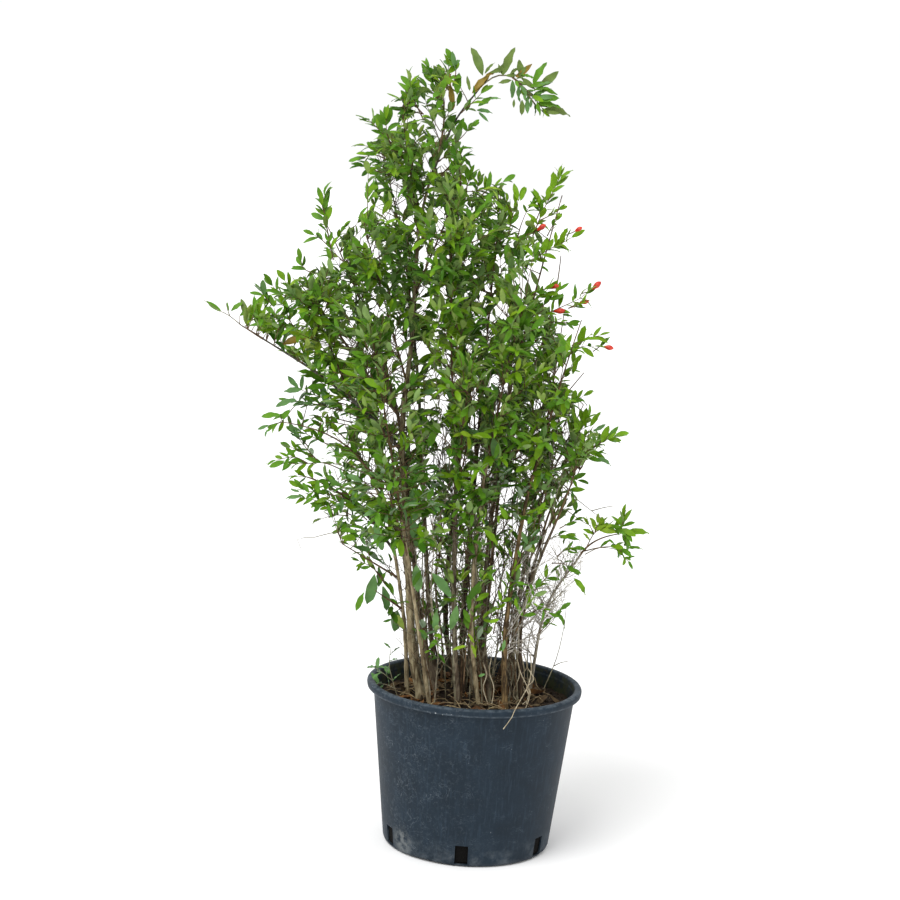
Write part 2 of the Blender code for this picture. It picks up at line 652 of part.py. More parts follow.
def clothe(mass, kind):
    """Side twigs by the golden turn up the leading shoot, with their leaves or buds."""
    long = sum((b - a).length for a, b in zip(mass.path, mass.path[1:]))
    fewest, most = TWIG_COUNTS
    count = BARE_COUNT if kind == "bare" else max(fewest, min(most, round(long / TWIG_STEP)))
    first, spread = TWIG_SPOTS
    grown = [side_twig(mass, kind, first + spread * k / (count - 1), k) for k in range(count)]
    if kind == "bare":
        return
    for number, twig in enumerate(grown):
        if twig is None:
            continue
        root, heading, long = twig
        tip = root + heading * long
        budding = kind == "buds" and number % BUD_STEP == BUD_STEP - 1
        if not budding or not mass.bud(tip, heading):
            mass.leaf(tip, heading)
        flip = mass.dice.uniform(0, math.pi)
        for side in (0, 1):
            spot = root + heading * (long * PAIR_SPOT + side * LEAF_STAGGER)
            mass.leaf(spot, turned_away(heading, flip + side * math.pi, PAIR_LEAN))
    tip, way = along_path(mass.path, 1.0)
    mass.leaf(tip, way)
    for number, part in enumerate(LEADER_LEAVES):
        spot, along = along_path(mass.path, part)
        mass.leaf(spot, turned_away(along, number * math.pi + 0.6, LEADER_LEAF_LEAN))


def solid_volume(piece):
    """Volume of a closed mesh, or zero where it isn't closed."""
    form = bmesh.new()
    form.from_mesh(piece.data)
    closed = all(len(edge.link_faces) == 2 for edge in form.edges)
    volume = form.calc_volume() if closed else 0.0
    form.free()
    return volume


def fuse(mass, leader, plant):
    """Join the leading shoot with all that it carries into one closed body."""
    parts = sum(solid_volume(piece) for piece in [leader, *mass.work.objects])
    for solver in ("EXACT", "MANIFOLD"):
        trial = leader.copy()
        trial.data = leader.data.copy()
        leader.users_collection[0].objects.link(trial)
        join = trial.modifiers.new("fuse", "BOOLEAN")
        join.operation = "UNION"
        join.operand_type = "COLLECTION"
        join.collection = mass.work
        join.solver = solver
        whole = bake(trial, mass.name, plant, weld=False)
        drop_scraps(whole)
        if solid_volume(whole) > parts * FUSED_SHARE:
            break
        print(mass.name, "not joined by", solver)
        if solver == "EXACT":
            bpy.data.objects.remove(whole, do_unlink=True)
    for piece in [leader, *mass.work.objects]:
        bpy.data.objects.remove(piece, do_unlink=True)
    whole.name = mass.name
    return whole


def drop_scraps(piece):
    """Keep only the largest body of faces that share edges."""
    form = bmesh.new()
    form.from_mesh(piece.data)
    left = set(form.faces)
    bodies = []
    while left:
        front = [left.pop()]
        body = list(front)
        while front:
            face = front.pop()
            linked = {other for edge in face.edges for other in edge.link_faces} & left
            left -= linked
            body += linked
            front += linked
        bodies.append(body)
    bodies.sort(key=len)
    scraps = [face for body in bodies[:-1] for face in body]
    bmesh.ops.delete(form, geom=scraps, context="FACES")
    form.to_mesh(piece.data)
    form.free()


def make_foliage(plant, guides, limbs, guards):
    """Every foliage mass in its own share of the crown."""
    work = new_collection("work")
    profile = triangle_profile(guides)
    looks = [material("leaf green", LEAF_GREEN, 0.42), material("leaf fresh", LEAF_FRESH, 0.40)]
    dead = material("dead twig", TWIG_DEAD, 0.8)
    paths = {}
    for name, (limb, height, tip, reach, kind) in MASSES.items():
        root, way = leader_root(limbs[limb], height, Vector(tip))
        if height is not None:
            root = seated_root(limb, root, way, Vector(tip), guides, profile)
        paths[name] = leader_path(root, way, Vector(tip))
    hearts = {name: hearts_of(path) for name, path in paths.items()}
    done = []
    total = 0
    solids = {limb: tree_of(bpy.data.objects[limb]) for limb in limbs}
    for seed, (name, (limb, height, tip, reach, kind)) in enumerate(MASSES.items()):
        path = paths[name]
        leader = tube(name + "_leader", path, LEADER_RADII, guides, profile)
        strays = [other for other, solid in solids.items() if tree_of(leader).overlap(solid)]
        if strays:
            print("leader of", name, "meets", strays)
        mass = Mass(name, seed, path, reach, hearts, list(guards.values()), done, work, profile)
        clothe(mass, kind)
        whole = fuse(mass, leader, plant)
        finish(whole, dead if kind == "bare" else looks[seed % 2], smooth=False)
        done.append(tree_of(whole))
        total += len(mass.leaves)
    bpy.data.objects.remove(profile, do_unlink=True)
    print("leaves in all", total)


def main():
    """Build the plant in its pot."""
    clear_scene()
    plant = new_collection("pomegranate_in_pot")
    cutter_set = new_collection("cutters")
    guides = new_collection("guides")
    make_pot(plant, cutter_set)
    soil = turned("soil", soil_profile(), plant)
    finish(soil, material("potting mix", SOIL_BROWN, 0.95))
    barks = [material("bark grey", BARK_GREY, 0.8), material("bark dark", BARK_DARK, 0.8),
             material("bark orange", BARK_ORANGE, 0.75)]
    limbs, guards = make_stems(plant, guides, barks)
    make_boughs(plant, guides, limbs, guards, barks[0])
    make_foliage(plant, guides, limbs, guards)


main()
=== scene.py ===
# %% [markdown]
# # A pomegranate in its nursery pot
# The plant is a young, many-stemmed pomegranate about 1.5 m tall, in the black pot that it is sold in.
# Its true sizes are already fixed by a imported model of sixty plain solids. This notebook loads them as a
# frame and models what the eye sees in their place: the moulded pot, the soil and its litter, stems with
# bark, thousands of small glossy leaves on fine twigs, and a few red buds. Nothing is moved or resized.

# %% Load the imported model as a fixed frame
import math
import random

import bpy
import numpy as np
from mathutils import Matrix, Vector, kdtree, noise


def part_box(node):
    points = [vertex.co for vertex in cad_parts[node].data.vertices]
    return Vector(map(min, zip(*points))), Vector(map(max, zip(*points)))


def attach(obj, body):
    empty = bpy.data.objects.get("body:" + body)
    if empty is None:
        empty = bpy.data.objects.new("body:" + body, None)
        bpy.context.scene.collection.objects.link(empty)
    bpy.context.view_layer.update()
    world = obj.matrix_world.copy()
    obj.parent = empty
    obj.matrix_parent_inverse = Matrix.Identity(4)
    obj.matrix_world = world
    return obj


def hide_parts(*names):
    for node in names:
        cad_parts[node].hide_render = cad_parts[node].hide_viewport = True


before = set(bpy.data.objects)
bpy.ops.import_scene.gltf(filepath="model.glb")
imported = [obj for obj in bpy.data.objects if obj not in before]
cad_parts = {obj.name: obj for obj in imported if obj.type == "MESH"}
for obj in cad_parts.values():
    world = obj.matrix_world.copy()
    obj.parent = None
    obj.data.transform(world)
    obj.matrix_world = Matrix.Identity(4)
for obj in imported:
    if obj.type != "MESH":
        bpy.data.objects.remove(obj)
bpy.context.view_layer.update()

UP = Vector((0.0, 0.0, 1.0))

# %% [markdown]
# ## Working by hand in code
# An operator works on whatever is selected, so each step first says which object it means. A finished
# piece is left at the origin with its place in its mesh, it gets its materials, and it rides on the
# frame's one body. These few helpers keep that the same for every piece.

# %% Helpers for objects
def only(piece):
    """Select one object, and nothing else, and make it the active one."""
    bpy.ops.object.select_all(action="DESELECT")
    piece.select_set(True)
    bpy.context.view_layer.objects.active = piece


def apply_modifiers(piece):
    """Apply every modifier in its order."""
    only(piece)
    for name in [modifier.name for modifier in piece.modifiers]:
        bpy.ops.object.modifier_apply(modifier=name)


def finish_piece(piece, looks, replaces=(), sharp=40.0):
    """Give a piece its materials and shading, and let it ride on the frame's body."""
    for look in looks:
        piece.data.materials.append(look)
    piece.data.shade_smooth()
    piece.data.set_sharp_from_angle(angle=math.radians(sharp))
    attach(piece, "root")
    if replaces:
        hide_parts(*replaces)
    faces = sum(len(face.vertices) - 2 for face in piece.data.polygons)
    print(f"{piece.name}: {faces} triangles")
    return piece


# %% [markdown]
# ## Colours and shader nodes
# Colours are given as sRGB hex values, but a shader works with linear light, so one function
# turns them. A second one adds a node with its settings and its links in one line. The others are the
# steps that every finish here is made of: a mask that says where, a coat of colour laid over by a mask,
# and a little relief. With them a material reads like a painter's recipe.

# %% Helpers for colours and nodes
def linear(code):
    """An sRGB hex colour as linear RGBA."""
    parts = [int(code[k:k + 2], 16) / 255 for k in (1, 3, 5)]
    return tuple(c / 12.92 if c <= 0.04045 else ((c + 0.055) / 1.055) ** 2.4 for c in parts) + (1.0,)


def add(tree, kind, settings=None, links=None):
    """Add a node; settings are inputs or properties, links lead from another node's output."""
    made = tree.nodes.new(kind)
    for key, value in (settings or {}).items():
        if isinstance(key, int) or key in made.inputs:
            made.inputs[key].default_value = value
        else:
            setattr(made, key, value)
    for key, socket in (links or {}).items():
        tree.links.new(socket, made.inputs[key])
    return made


def new_material(name, roughness, ior=1.46, specular=0.5):
    """An empty Principled material, with its node tree and shader."""
    made = bpy.data.materials.new(name)
    made.use_nodes = True
    shader = made.node_tree.nodes["Principled BSDF"]
    shader.inputs["Roughness"].default_value = roughness
    shader.inputs["IOR"].default_value = ior
    shader.inputs["Specular IOR Level"].default_value = specular
    return made, made.node_tree, shader


def per_metre(millimetres):
    """Noise scale that repeats about once in this many millimetres."""
    return 1000.0 / millimetres


def object_places(tree):
    """The socket that gives each point's own place on the object, in metres."""
    return add(tree, "ShaderNodeTexCoord").outputs["Object"]


def mask(tree, source, none, full):
    """0 where a value is at or past none, 1 where it is at or past full, smooth between."""
    made = add(tree, "ShaderNodeMapRange", {"From Min": none, "From Max": full,
                                            "interpolation_type": "SMOOTHSTEP"}, {"Value": source})
    return made.outputs["Result"]


def patches(tree, where, size_mm, none, full, detail=3.0, roughness=0.55):
    """A mask of soft patches of a real size in millimetres."""
    cloud = add(tree, "ShaderNodeTexNoise", {"Scale": per_metre(size_mm), "Detail": detail,
                                             "Roughness": roughness}, {"Vector": where})
    return mask(tree, cloud.outputs["Fac"], none, full)


def overlap(tree, first, second):
    """Where two masks meet; the second may be a plain share."""
    if isinstance(second, float):
        return add(tree, "ShaderNodeMath", {"operation": "MULTIPLY", 1: second}, {0: first}).outputs[0]
    return add(tree, "ShaderNodeMath", {"operation": "MULTIPLY"}, {0: first, 1: second}).outputs[0]


def coat(tree, under, over, where_over, share=1.0):
    """One colour laid over another by a mask; each is a hex code or a socket."""
    if share < 1.0:
        where_over = overlap(tree, where_over, share)
    made = add(tree, "ShaderNodeMix", {"data_type": "RGBA"}, {0: where_over})
    for slot, colour in ((6, under), (7, over)):
        if isinstance(colour, str):
            made.inputs[slot].default_value = linear(colour)
        else:
            tree.links.new(colour, made.inputs[slot])
    return made.outputs[2]


def relief(tree, shader, height, depth_mm, strength=1.0):
    """Small relief of a real depth, from a height between 0 and 1."""
    made = add(tree, "ShaderNodeBump", {"Strength": strength, "Distance": depth_mm / 1000},
               {"Height": height})
    tree.links.new(made.outputs["Normal"], shader.inputs["Normal"])


def rough_relief(tree, shader, where, size_mm, depth_mm, strength=1.0, detail=3.0, roughness=0.55):
    """Relief from a noise of a real size."""
    cloud = add(tree, "ShaderNodeTexNoise", {"Scale": per_metre(size_mm), "Detail": detail,
                                             "Roughness": roughness}, {"Vector": where})
    relief(tree, shader, cloud.outputs["Fac"], depth_mm, strength)


# %% [markdown]
# ## The camera
# The photograph was taken from 3.7 m in front of the plant and 1.3 m up, looking a little down, with the
# camera turned three degrees about its own line of sight. These values were fitted to the pot's rim and
# foot. The focal length is stated on a 36 mm sensor for a square picture.

# %% Place the camera
CAMERA_PLACE = (0.0, -3.733, 1.3136)
CAMERA_PITCH = math.radians(8.735)
CAMERA_ROLL = math.radians(3.193)
CAMERA_YAW = math.radians(1.067)
FOCAL_PIXELS = 2058.3
PICTURE_PIXELS = 900
SENSOR_MM = 36.0

turn = (Matrix.Rotation(CAMERA_YAW, 4, "Z") @ Matrix.Rotation(math.pi / 2 - CAMERA_PITCH, 4, "X")
        @ Matrix.Rotation(CAMERA_ROLL, 4, "Z"))
bpy.ops.object.camera_add(location=CAMERA_PLACE, rotation=turn.to_euler())
camera = bpy.context.object
camera.name = "photo_camera"
camera.data.sensor_width = SENSOR_MM
camera.data.lens = FOCAL_PIXELS * SENSOR_MM / PICTURE_PIXELS
bpy.context.scene.camera = camera
print(f"lens {camera.data.lens:.1f} mm")

# %% [markdown]
# ## Floor and light
# The plant was cut out on white and lit by an open, bright sky. A white floor, an even sky and one very
# soft sun from the upper left give that look: leaves shine a little on their upper sides, and the inside
# of the crown stays dark. A sun lights the floor evenly out to the horizon, so floor and sky meet without
# a line. The standard view transform keeps white as white.

# %% Build the floor, the sky and the soft sun
FLOOR_SIZE = 80.0
SKY_LIGHT = 1.02
SUN_ANGLE = math.radians(38)
SUN_POWER = 1.9
SUN_AIM = Vector((0.50, 0.62, -1.00))

bpy.ops.mesh.primitive_plane_add(size=FLOOR_SIZE)
floor = bpy.context.object
floor.name = "floor"
floor_look, _, floor_shader = new_material("matt white floor", 1.0, specular=0.0)
floor_shader.inputs["Base Color"].default_value = linear("#f4f4f4")
floor.data.materials.append(floor_look)

world = bpy.data.worlds.new("open sky")
bpy.context.scene.world = world
world.use_nodes = True
sky = world.node_tree.nodes["Background"]
sky.inputs["Color"].default_value = linear("#ffffff")
sky.inputs["Strength"].default_value = SKY_LIGHT

bpy.ops.object.light_add(type="SUN", rotation=SUN_AIM.to_track_quat("-Z", "Y").to_euler())
sun = bpy.context.object
sun.name = "soft_sun"
sun.data.angle = SUN_ANGLE
sun.data.energy = SUN_POWER
bpy.context.scene.view_settings.view_transform = "Standard"
print("floor, sky and sun ready")

# %% [markdown]
# ## Turning a shape
# The pot and the soil in it are round. On a lathe such a shape is cut along its half section. In edit
# mode the same is done by extruding a ring upward and scaling it, one step of the section at a time. A
# Screw modifier would also work; extruding leaves clean rings that later steps can select by height.

# %% Lathe a closed shape from its half section
def lathe(name, section, sides):
    """Extrude a ring along a half section of (radius, height) points and close both ends."""
    (radius, height), *rest = section
    bpy.ops.object.select_all(action="DESELECT")
    bpy.ops.mesh.primitive_circle_add(vertices=sides, radius=radius, fill_type="NOTHING")
    made = bpy.context.object
    made.name = name
    bpy.ops.object.mode_set(mode="EDIT")
    bpy.ops.mesh.select_all(action="SELECT")
    bpy.ops.transform.translate(value=(0, 0, height))
    for wide, tall in rest:
        bpy.ops.mesh.extrude_edges_move(TRANSFORM_OT_translate={"value": (0, 0, tall - height)})
        bpy.ops.transform.resize(value=(wide / radius, wide / radius, 1))
        radius, height = wide, tall
    bpy.ops.mesh.select_all(action="SELECT")
    bpy.ops.mesh.fill_holes(sides=0)
    bpy.ops.mesh.normals_make_consistent(inside=False)
    bpy.ops.object.mode_set(mode="OBJECT")
    return made


def arc(centre, radius, start, stop, steps):
    """Points of an arc in a half section; angles in degrees."""
    turns = [math.radians(start + (stop - start) * k / steps) for k in range(steps + 1)]
    return [(centre[0] + radius * math.cos(a), centre[1] + radius * math.sin(a)) for a in turns]


def vertex_array(piece):
    """A piece's vertices as an array."""
    flat = np.empty(len(piece.data.vertices) * 3)
    piece.data.vertices.foreach_get("co", flat)
    return flat.reshape(-1, 3)


def set_vertices(piece, points):
    """Write an array of places back to a piece's vertices."""
    piece.data.vertices.foreach_set("co", points.ravel())
    piece.data.update()


# %% [markdown]
# ## The pot
# A 40 cm container, injection moulded in recycled polypropylene: a thin sloping wall, a rolled lip with
# an undercut beneath it, a rounded foot and six drainage slots. The slots are cut with boxes, as the
# mould's side cores do. Years of use have pushed the wall a millimetre or two out of round.

# %% Model the pot
pot_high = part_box("pot")[1]
POT_SIDES = 144
RIM_RADIUS = 0.2000
POT_HEIGHT = pot_high.z
RIM_TALL = 0.0140
RIM_LIP = 0.0065
WALL_TOP_RADIUS = 0.1877
WALL_BASE_RADIUS = 0.1565
BASE_ROUND = 0.010
WALL = 0.0030
FLOOR = 0.0040
SLOTS = 6
SLOT_WIDE = 0.024
SLOT_LOW = 0.0055
SLOT_TALL = 0.036
SLOT_DEEP = 0.030
SLOT_TURN = math.radians(-92)
SLOT_CORNER = 0.0012
END_RADIUS = 0.006


def wall_radius(height):
    """Outer radius of the sloping wall at a height."""
    slope = (WALL_TOP_RADIUS - WALL_BASE_RADIUS) / (POT_HEIGHT - RIM_TALL - BASE_ROUND)
    return WALL_BASE_RADIUS + slope * (height - BASE_ROUND)


def wall_run(inner, start, stop, steps):
    """Evenly spaced points up or down the wall."""
    heights = [start + (stop - start) * k / steps for k in range(steps + 1)]
    return [(wall_radius(h) - (WALL if inner else 0.0), h) for h in heights]


shoulder = POT_HEIGHT - RIM_TALL
inner_round = BASE_ROUND - WALL / 2
bend = (wall_radius(FLOOR + inner_round) - WALL - inner_round, FLOOR + inner_round)
lip = (RIM_RADIUS - RIM_LIP, POT_HEIGHT - RIM_LIP)
pot_section = [(END_RADIUS, FLOOR), (0.08, FLOOR)]
pot_section += arc(bend, inner_round, -90, 0, 4)
pot_section += wall_run(True, 0.03, shoulder - 0.004, 9)
pot_section += [(wall_radius(shoulder) - WALL + 0.0008, shoulder + 0.003),
                (RIM_RADIUS - 2.1 * RIM_LIP, POT_HEIGHT - 0.0035),
                (RIM_RADIUS - 1.9 * RIM_LIP, POT_HEIGHT - 0.0012),
                (RIM_RADIUS - 1.6 * RIM_LIP, POT_HEIGHT - 0.0002)]
pot_section += arc(lip, RIM_LIP, 95, 0, 7)
pot_section += [(RIM_RADIUS - 0.0004, shoulder + 0.0040), (RIM_RADIUS - 0.0010, shoulder + 0.0012),
                (RIM_RADIUS - 0.0022, shoulder), (wall_radius(shoulder) + 0.0022, shoulder + 0.0002),
                (wall_radius(shoulder) + 0.0005, shoulder - 0.0010)]
pot_section += wall_run(False, shoulder - 0.006, BASE_ROUND + 0.004, 14)
pot_section += arc((wall_radius(BASE_ROUND) - BASE_ROUND, BASE_ROUND), BASE_ROUND, 0, -90, 6)
pot_section += [(0.10, 0.0), (END_RADIUS, 0.0)]
pot = lathe("pot_moulded", pot_section, POT_SIDES)

cutters = []
for k in range(SLOTS):
    turn = SLOT_TURN + 2 * math.pi * k / SLOTS
    middle = SLOT_LOW + SLOT_TALL / 2
    radius = wall_radius(middle)
    bpy.ops.object.select_all(action="DESELECT")
    place = (radius * math.cos(turn), radius * math.sin(turn), middle)
    bpy.ops.mesh.primitive_cube_add(size=1.0, location=place, rotation=(0, 0, turn),
                                    scale=(SLOT_DEEP, SLOT_WIDE, SLOT_TALL))
    cutter = bpy.context.object
    bpy.ops.object.transform_apply(location=False, rotation=False, scale=True)
    rounding = cutter.modifiers.new("rounded corners", "BEVEL")
    rounding.width = SLOT_CORNER
    rounding.segments = 3
    apply_modifiers(cutter)
    cut = pot.modifiers.new("slot", "BOOLEAN")
    cut.operation = "DIFFERENCE"
    cut.object = cutter
    cutters.append(cutter)
apply_modifiers(pot)
for cutter in cutters:
    bpy.data.objects.remove(cutter, do_unlink=True)
print("pot faces", len(pot.data.polygons))

# %% [markdown]
# A thrown-about pot is never quite round. Each vertex moves out or in by a slow wave round the wall, most
# near the rim and not at all at the foot, and the foot's edge is dented where it shows at the left.

# %% Push the pot a little out of round
WARP_MM = 1.1
DENT_TURN = math.radians(-118)
DENT_SPREAD = math.radians(13)
DENT_LIFT = 0.0022

places = vertex_array(pot)
angle = np.arctan2(places[:, 1], places[:, 0])
reach = np.hypot(places[:, 0], places[:, 1])
height = places[:, 2] / POT_HEIGHT
wave = np.sin(2 * angle + 0.7) * 0.6 + np.sin(3 * angle + 2.1) * 0.4 + np.sin(7 * angle) * 0.12
outward = 1 + wave * height * (reach > 0.12) * WARP_MM / 1000 / np.maximum(reach, 0.05)
places[:, :2] *= outward[:, None]
dent = np.exp(-((angle - DENT_TURN) / DENT_SPREAD) ** 2)
dent *= (reach > 0.135) * np.clip(1 - places[:, 2] / 0.02, 0, 1)
places[:, 2] += dent * DENT_LIFT
set_vertices(pot, places)
print("largest warp mm", round(float(np.abs(wave).max() * WARP_MM), 2))

# %% [markdown]
# Recycled polypropylene is blue-grey black and matt. Dust settles round the foot; the top of the lip and the
# undercut are paler, partly wear and partly painted highlight. The wall carries pale scuffs in loose
# clusters and hair-fine scratches, and chalky specks sit on the lip.
# The inside above the soil is stained green and brown by algae and splashed soil.

# %% Make the pot's two materials
FOOT_SCUFF = (-0.118, -0.110, 0.026)      # middle of the pale rub at the foot's left
RIM_CHIPS = (-0.052, -0.190, 0.2935)      # middle of the chalky chips under the lip


def near_place(tree, where, place, none, full):
    """A mask round one place; the limits are distances."""
    far = add(tree, "ShaderNodeVectorMath", {"operation": "DISTANCE", 1: place}, {0: where}).outputs["Value"]
    return mask(tree, far, none, full)


def hairlines(tree, where, size_mm, width):
    """Thin winding lines: where a noise passes its middle value."""
    winding = add(tree, "ShaderNodeTexNoise", {"Scale": per_metre(size_mm), "Detail": 3, "Roughness": 0.55,
                                               "Distortion": 0.8}, {"Vector": where}).outputs["Fac"]
    return overlap(tree, mask(tree, winding, 0.5 - width, 0.5), mask(tree, winding, 0.5 + width, 0.5))


def speckles(tree, where, spacing_mm, none, full):
    """Small round specks; the limits are shares of their spacing."""
    cells = add(tree, "ShaderNodeTexVoronoi", {"Scale": per_metre(spacing_mm)}, {"Vector": where})
    return mask(tree, cells.outputs["Distance"], none, full)


def stretched(tree, where, along):
    """Places for a pattern that is longer or shorter upright; below 1 it is longer."""
    return add(tree, "ShaderNodeMapping", {"Scale": (1.0, 1.0, along)}, {"Vector": where}).outputs[0]


def pot_plastic(name, stained):
    """Scuffed moulded polypropylene; stained is the algae-marked inside."""
    look, tree, shader = new_material(name, 0.55, ior=1.49, specular=0.13)
    where = object_places(tree)
    axes = add(tree, "ShaderNodeSeparateXYZ", links={"Vector": where})
    tall = axes.outputs["Z"]
    cloud = add(tree, "ShaderNodeTexNoise", {"Scale": per_metre(60), "Detail": 6, "Roughness": 0.62},
                {"Vector": where}).outputs["Fac"]
    more_at_left = add(tree, "ShaderNodeMapRange", {"interpolation_type": "SMOOTHSTEP", "From Min": -0.13,
                                                    "From Max": 0.09, "To Min": 1.15, "To Max": 0.15},
                       {"Value": axes.outputs["X"]}).outputs["Result"]

    colour = coat(tree, "#1c262f", "#222e39", mask(tree, cloud, 0.30, 0.75))
    flow = patches(tree, stretched(tree, where, 0.05), 5, 0.50, 0.75)
    colour = coat(tree, colour, "#3b4a59", flow, 0.22)
    scuffed = overlap(tree, patches(tree, where, 42, 0.46, 0.62), more_at_left)
    colour = coat(tree, colour, "#87919a", overlap(tree, hairlines(tree, where, 21, 0.016), scuffed), 0.21)
    level = hairlines(tree, stretched(tree, where, 5.0), 26, 0.014)
    colour = coat(tree, colour, "#7b858d", overlap(tree, level, patches(tree, where, 30, 0.52, 0.64)), 0.20)
    haze = patches(tree, where, 6, 0.50, 0.74, detail=6, roughness=0.75)
    colour = coat(tree, colour, "#78828a", overlap(tree, haze, more_at_left), 0.16)
    chalk = patches(tree, where, 22, 0.40, 0.74, detail=6, roughness=0.66)
    colour = coat(tree, colour, "#737a7f", overlap(tree, chalk, mask(tree, tall, 0.060, 0.002)), 0.34)
    rub = patches(tree, where, 14, 0.38, 0.62, detail=5, roughness=0.62)
    colour = coat(tree, colour, "#868a89",
                  overlap(tree, rub, near_place(tree, where, FOOT_SCUFF, 0.036, 0.008)), 0.50)
    # painted highlight and wear: the top of the lip and the undercut's edge get a paler coat in patches
    undercut = overlap(tree, mask(tree, tall, 0.2920, 0.2930), mask(tree, tall, 0.2975, 0.2950))
    for edge in (mask(tree, tall, 0.3025, 0.3060), undercut):
        rim_highlight_and_wear = overlap(tree, edge, patches(tree, where, 10, 0.30, 0.70, detail=5))
        colour = coat(tree, colour, "#6f7a83", rim_highlight_and_wear, 0.34)
    clusters = patches(tree, where, 30, 0.58, 0.64, detail=1)
    specks = overlap(tree, speckles(tree, where, 11, 0.09, 0.04), clusters)
    colour = coat(tree, colour, "#9aa1a5", specks, 0.45)
    under_lip = overlap(tree, mask(tree, tall, 0.2905, 0.2915), mask(tree, tall, 0.2970, 0.2955))
    chips = overlap(tree, speckles(tree, where, 5, 0.26, 0.16), under_lip)
    at_chips = near_place(tree, where, RIM_CHIPS, 0.045, 0.012)
    colour = coat(tree, colour, "#b9bec0", overlap(tree, chips, at_chips))
    if stained:
        moss = patches(tree, where, 24, 0.40, 0.62, detail=5, roughness=0.65)
        colour = coat(tree, colour, "#3a3f22", moss, 0.75)
        colour = coat(tree, colour, "#463d2f", patches(tree, where, 9, 0.52, 0.70, detail=4), 0.6)
    tree.links.new(colour, shader.inputs["Base Color"])

    peel, ripple = [add(tree, "ShaderNodeTexNoise", {"Scale": per_metre(size), "Detail": detail,
                                                     "Roughness": 0.55}, {"Vector": where}).outputs["Fac"]
                    for size, detail in ((2.4, 3), (38, 2))]
    height = add(tree, "ShaderNodeMath", {"operation": "MULTIPLY_ADD", 1: 0.25}, {0: peel, 2: ripple})
    relief(tree, shader, height.outputs[0], 0.9, 0.5)
    dull = add(tree, "ShaderNodeMapRange", {"To Min": 0.46, "To Max": 0.66}, {"Value": cloud})
    tree.links.new(dull.outputs["Result"], shader.inputs["Roughness"])
    return look


pot_looks = [pot_plastic("moulded polypropylene, scuffed", False),
             pot_plastic("moulded polypropylene, algae-stained", True)]
finish_piece(pot, pot_looks, ["pot"], sharp=35.0)
for face in pot.data.polygons:
    flat = Vector((face.center.x, face.center.y, 0.0)).normalized()
    inward = face.normal.dot(flat) < -0.5 and face.center.z < POT_HEIGHT - 0.006
    face.material_index = 1 if inward else 0
print("stained faces", sum(face.material_index for face in pot.data.polygons))

# %% [markdown]
# ## The potting mix
# Peaty mix settles 3 cm below the rim and is coarse: lumps, hollows and loose crumbs. The body is turned
# like the pot, a little inside its wall, and its top rings are then lifted and sunk by layered noise.

# %% Turn the soil and roughen its top
SOIL_TOP = 0.276
SOIL_RINGS = 44
SOIL_SIDES = 120
SOIL_CLEAR = 0.0006
SOIL_LUMPS = ((34.0, 0.0046), (11.0, 0.0026), (4.5, 0.0013))

soil_radius = wall_radius(SOIL_TOP) - WALL - SOIL_CLEAR
low = FLOOR + inner_round
soil_section = [(0.002 + (soil_radius - 0.002) * k / SOIL_RINGS, SOIL_TOP) for k in range(SOIL_RINGS + 1)]
soil_section += [(wall_radius(0.15) - WALL - SOIL_CLEAR, 0.15), (wall_radius(low) - WALL - SOIL_CLEAR, low)]
soil_section += arc(bend, inner_round - SOIL_CLEAR, -20, -90, 2) + [(0.01, FLOOR + SOIL_CLEAR)]
soil = lathe("potting_mix", soil_section, SOIL_SIDES)


def soil_height(x, y):
    """Height of the rough surface of the mix at a place."""
    rise = sum(deep * noise.noise(Vector((x, y, 0.3)) * per_metre(wide)) for wide, deep in SOIL_LUMPS)
    edge = max(0.0, (math.hypot(x, y) / soil_radius) - 0.80) / 0.20
    return SOIL_TOP + rise - 0.004 * edge


places = vertex_array(soil)
for index in np.nonzero(places[:, 2] > SOIL_TOP - 0.001)[0]:
    places[index, 2] = soil_height(places[index, 0], places[index, 1])
set_vertices(soil, places)


def two_tone(name, shine, specular, dark, pale, size_mm, limits, detail, grit=None):
    """A finish of two tones in patches; grit is the size, depth and strength of its relief."""
    look, tree, shader = new_material(name, shine, specular=specular)
    where = object_places(tree)
    colour = coat(tree, dark, pale, patches(tree, where, size_mm, *limits, detail=detail))
    tree.links.new(colour, shader.inputs["Base Color"])
    if grit:
        rough_relief(tree, shader, where, *grit)
    return look


def soil_material():
    """Moist peat and bark fines: dark brown, matt, with paler fibres, and painted black shade low down,
    where it is seen through the slots.
    """
    look, tree, shader = new_material("peaty potting mix", 0.95, specular=0.2)
    where = object_places(tree)
    colour = coat(tree, "#221a13", "#3a2e23", patches(tree, where, 22, 0.35, 0.65, detail=5))
    fibres = patches(tree, where, 3.0, 0.58, 0.70, detail=4, roughness=0.7)
    colour = coat(tree, colour, "#5c4b37", fibres, 0.7)
    tall = add(tree, "ShaderNodeSeparateXYZ", links={"Vector": where}).outputs["Z"]
    # painted shade: below 12 cm the mix turns black, for the dark inside of the pot seen through the slots
    colour = coat(tree, colour, "#070605", mask(tree, tall, 0.12, 0.06))
    tree.links.new(colour, shader.inputs["Base Color"])
    rough_relief(tree, shader, where, 2.6, 2.2, detail=5, roughness=0.7)
    return look


soil_look = soil_material()
finish_piece(soil, [soil_look], ["soil"], sharp=80.0)

# %% [markdown]
# ## Many small things
# Twigs, leaves, crumbs and litter number in the thousands. Each kind is gathered as plain lists and then
# written once as one joined mesh, which is far faster than thousands of objects. A
# twig is a five-sided tube that follows its points; a shape such as a leaf is one small template that an
# array of directions and sizes places many times.

# %% Join tubes into one mesh
TUBE_SIDES = 5


def mesh_piece(name, points, faces):
    """A new object from arrays of points and lists of faces."""
    mesh = bpy.data.meshes.new(name)
    mesh.from_pydata(points, [], faces)
    made = bpy.data.objects.new(name, mesh)
    bpy.context.scene.collection.objects.link(made)
    return made


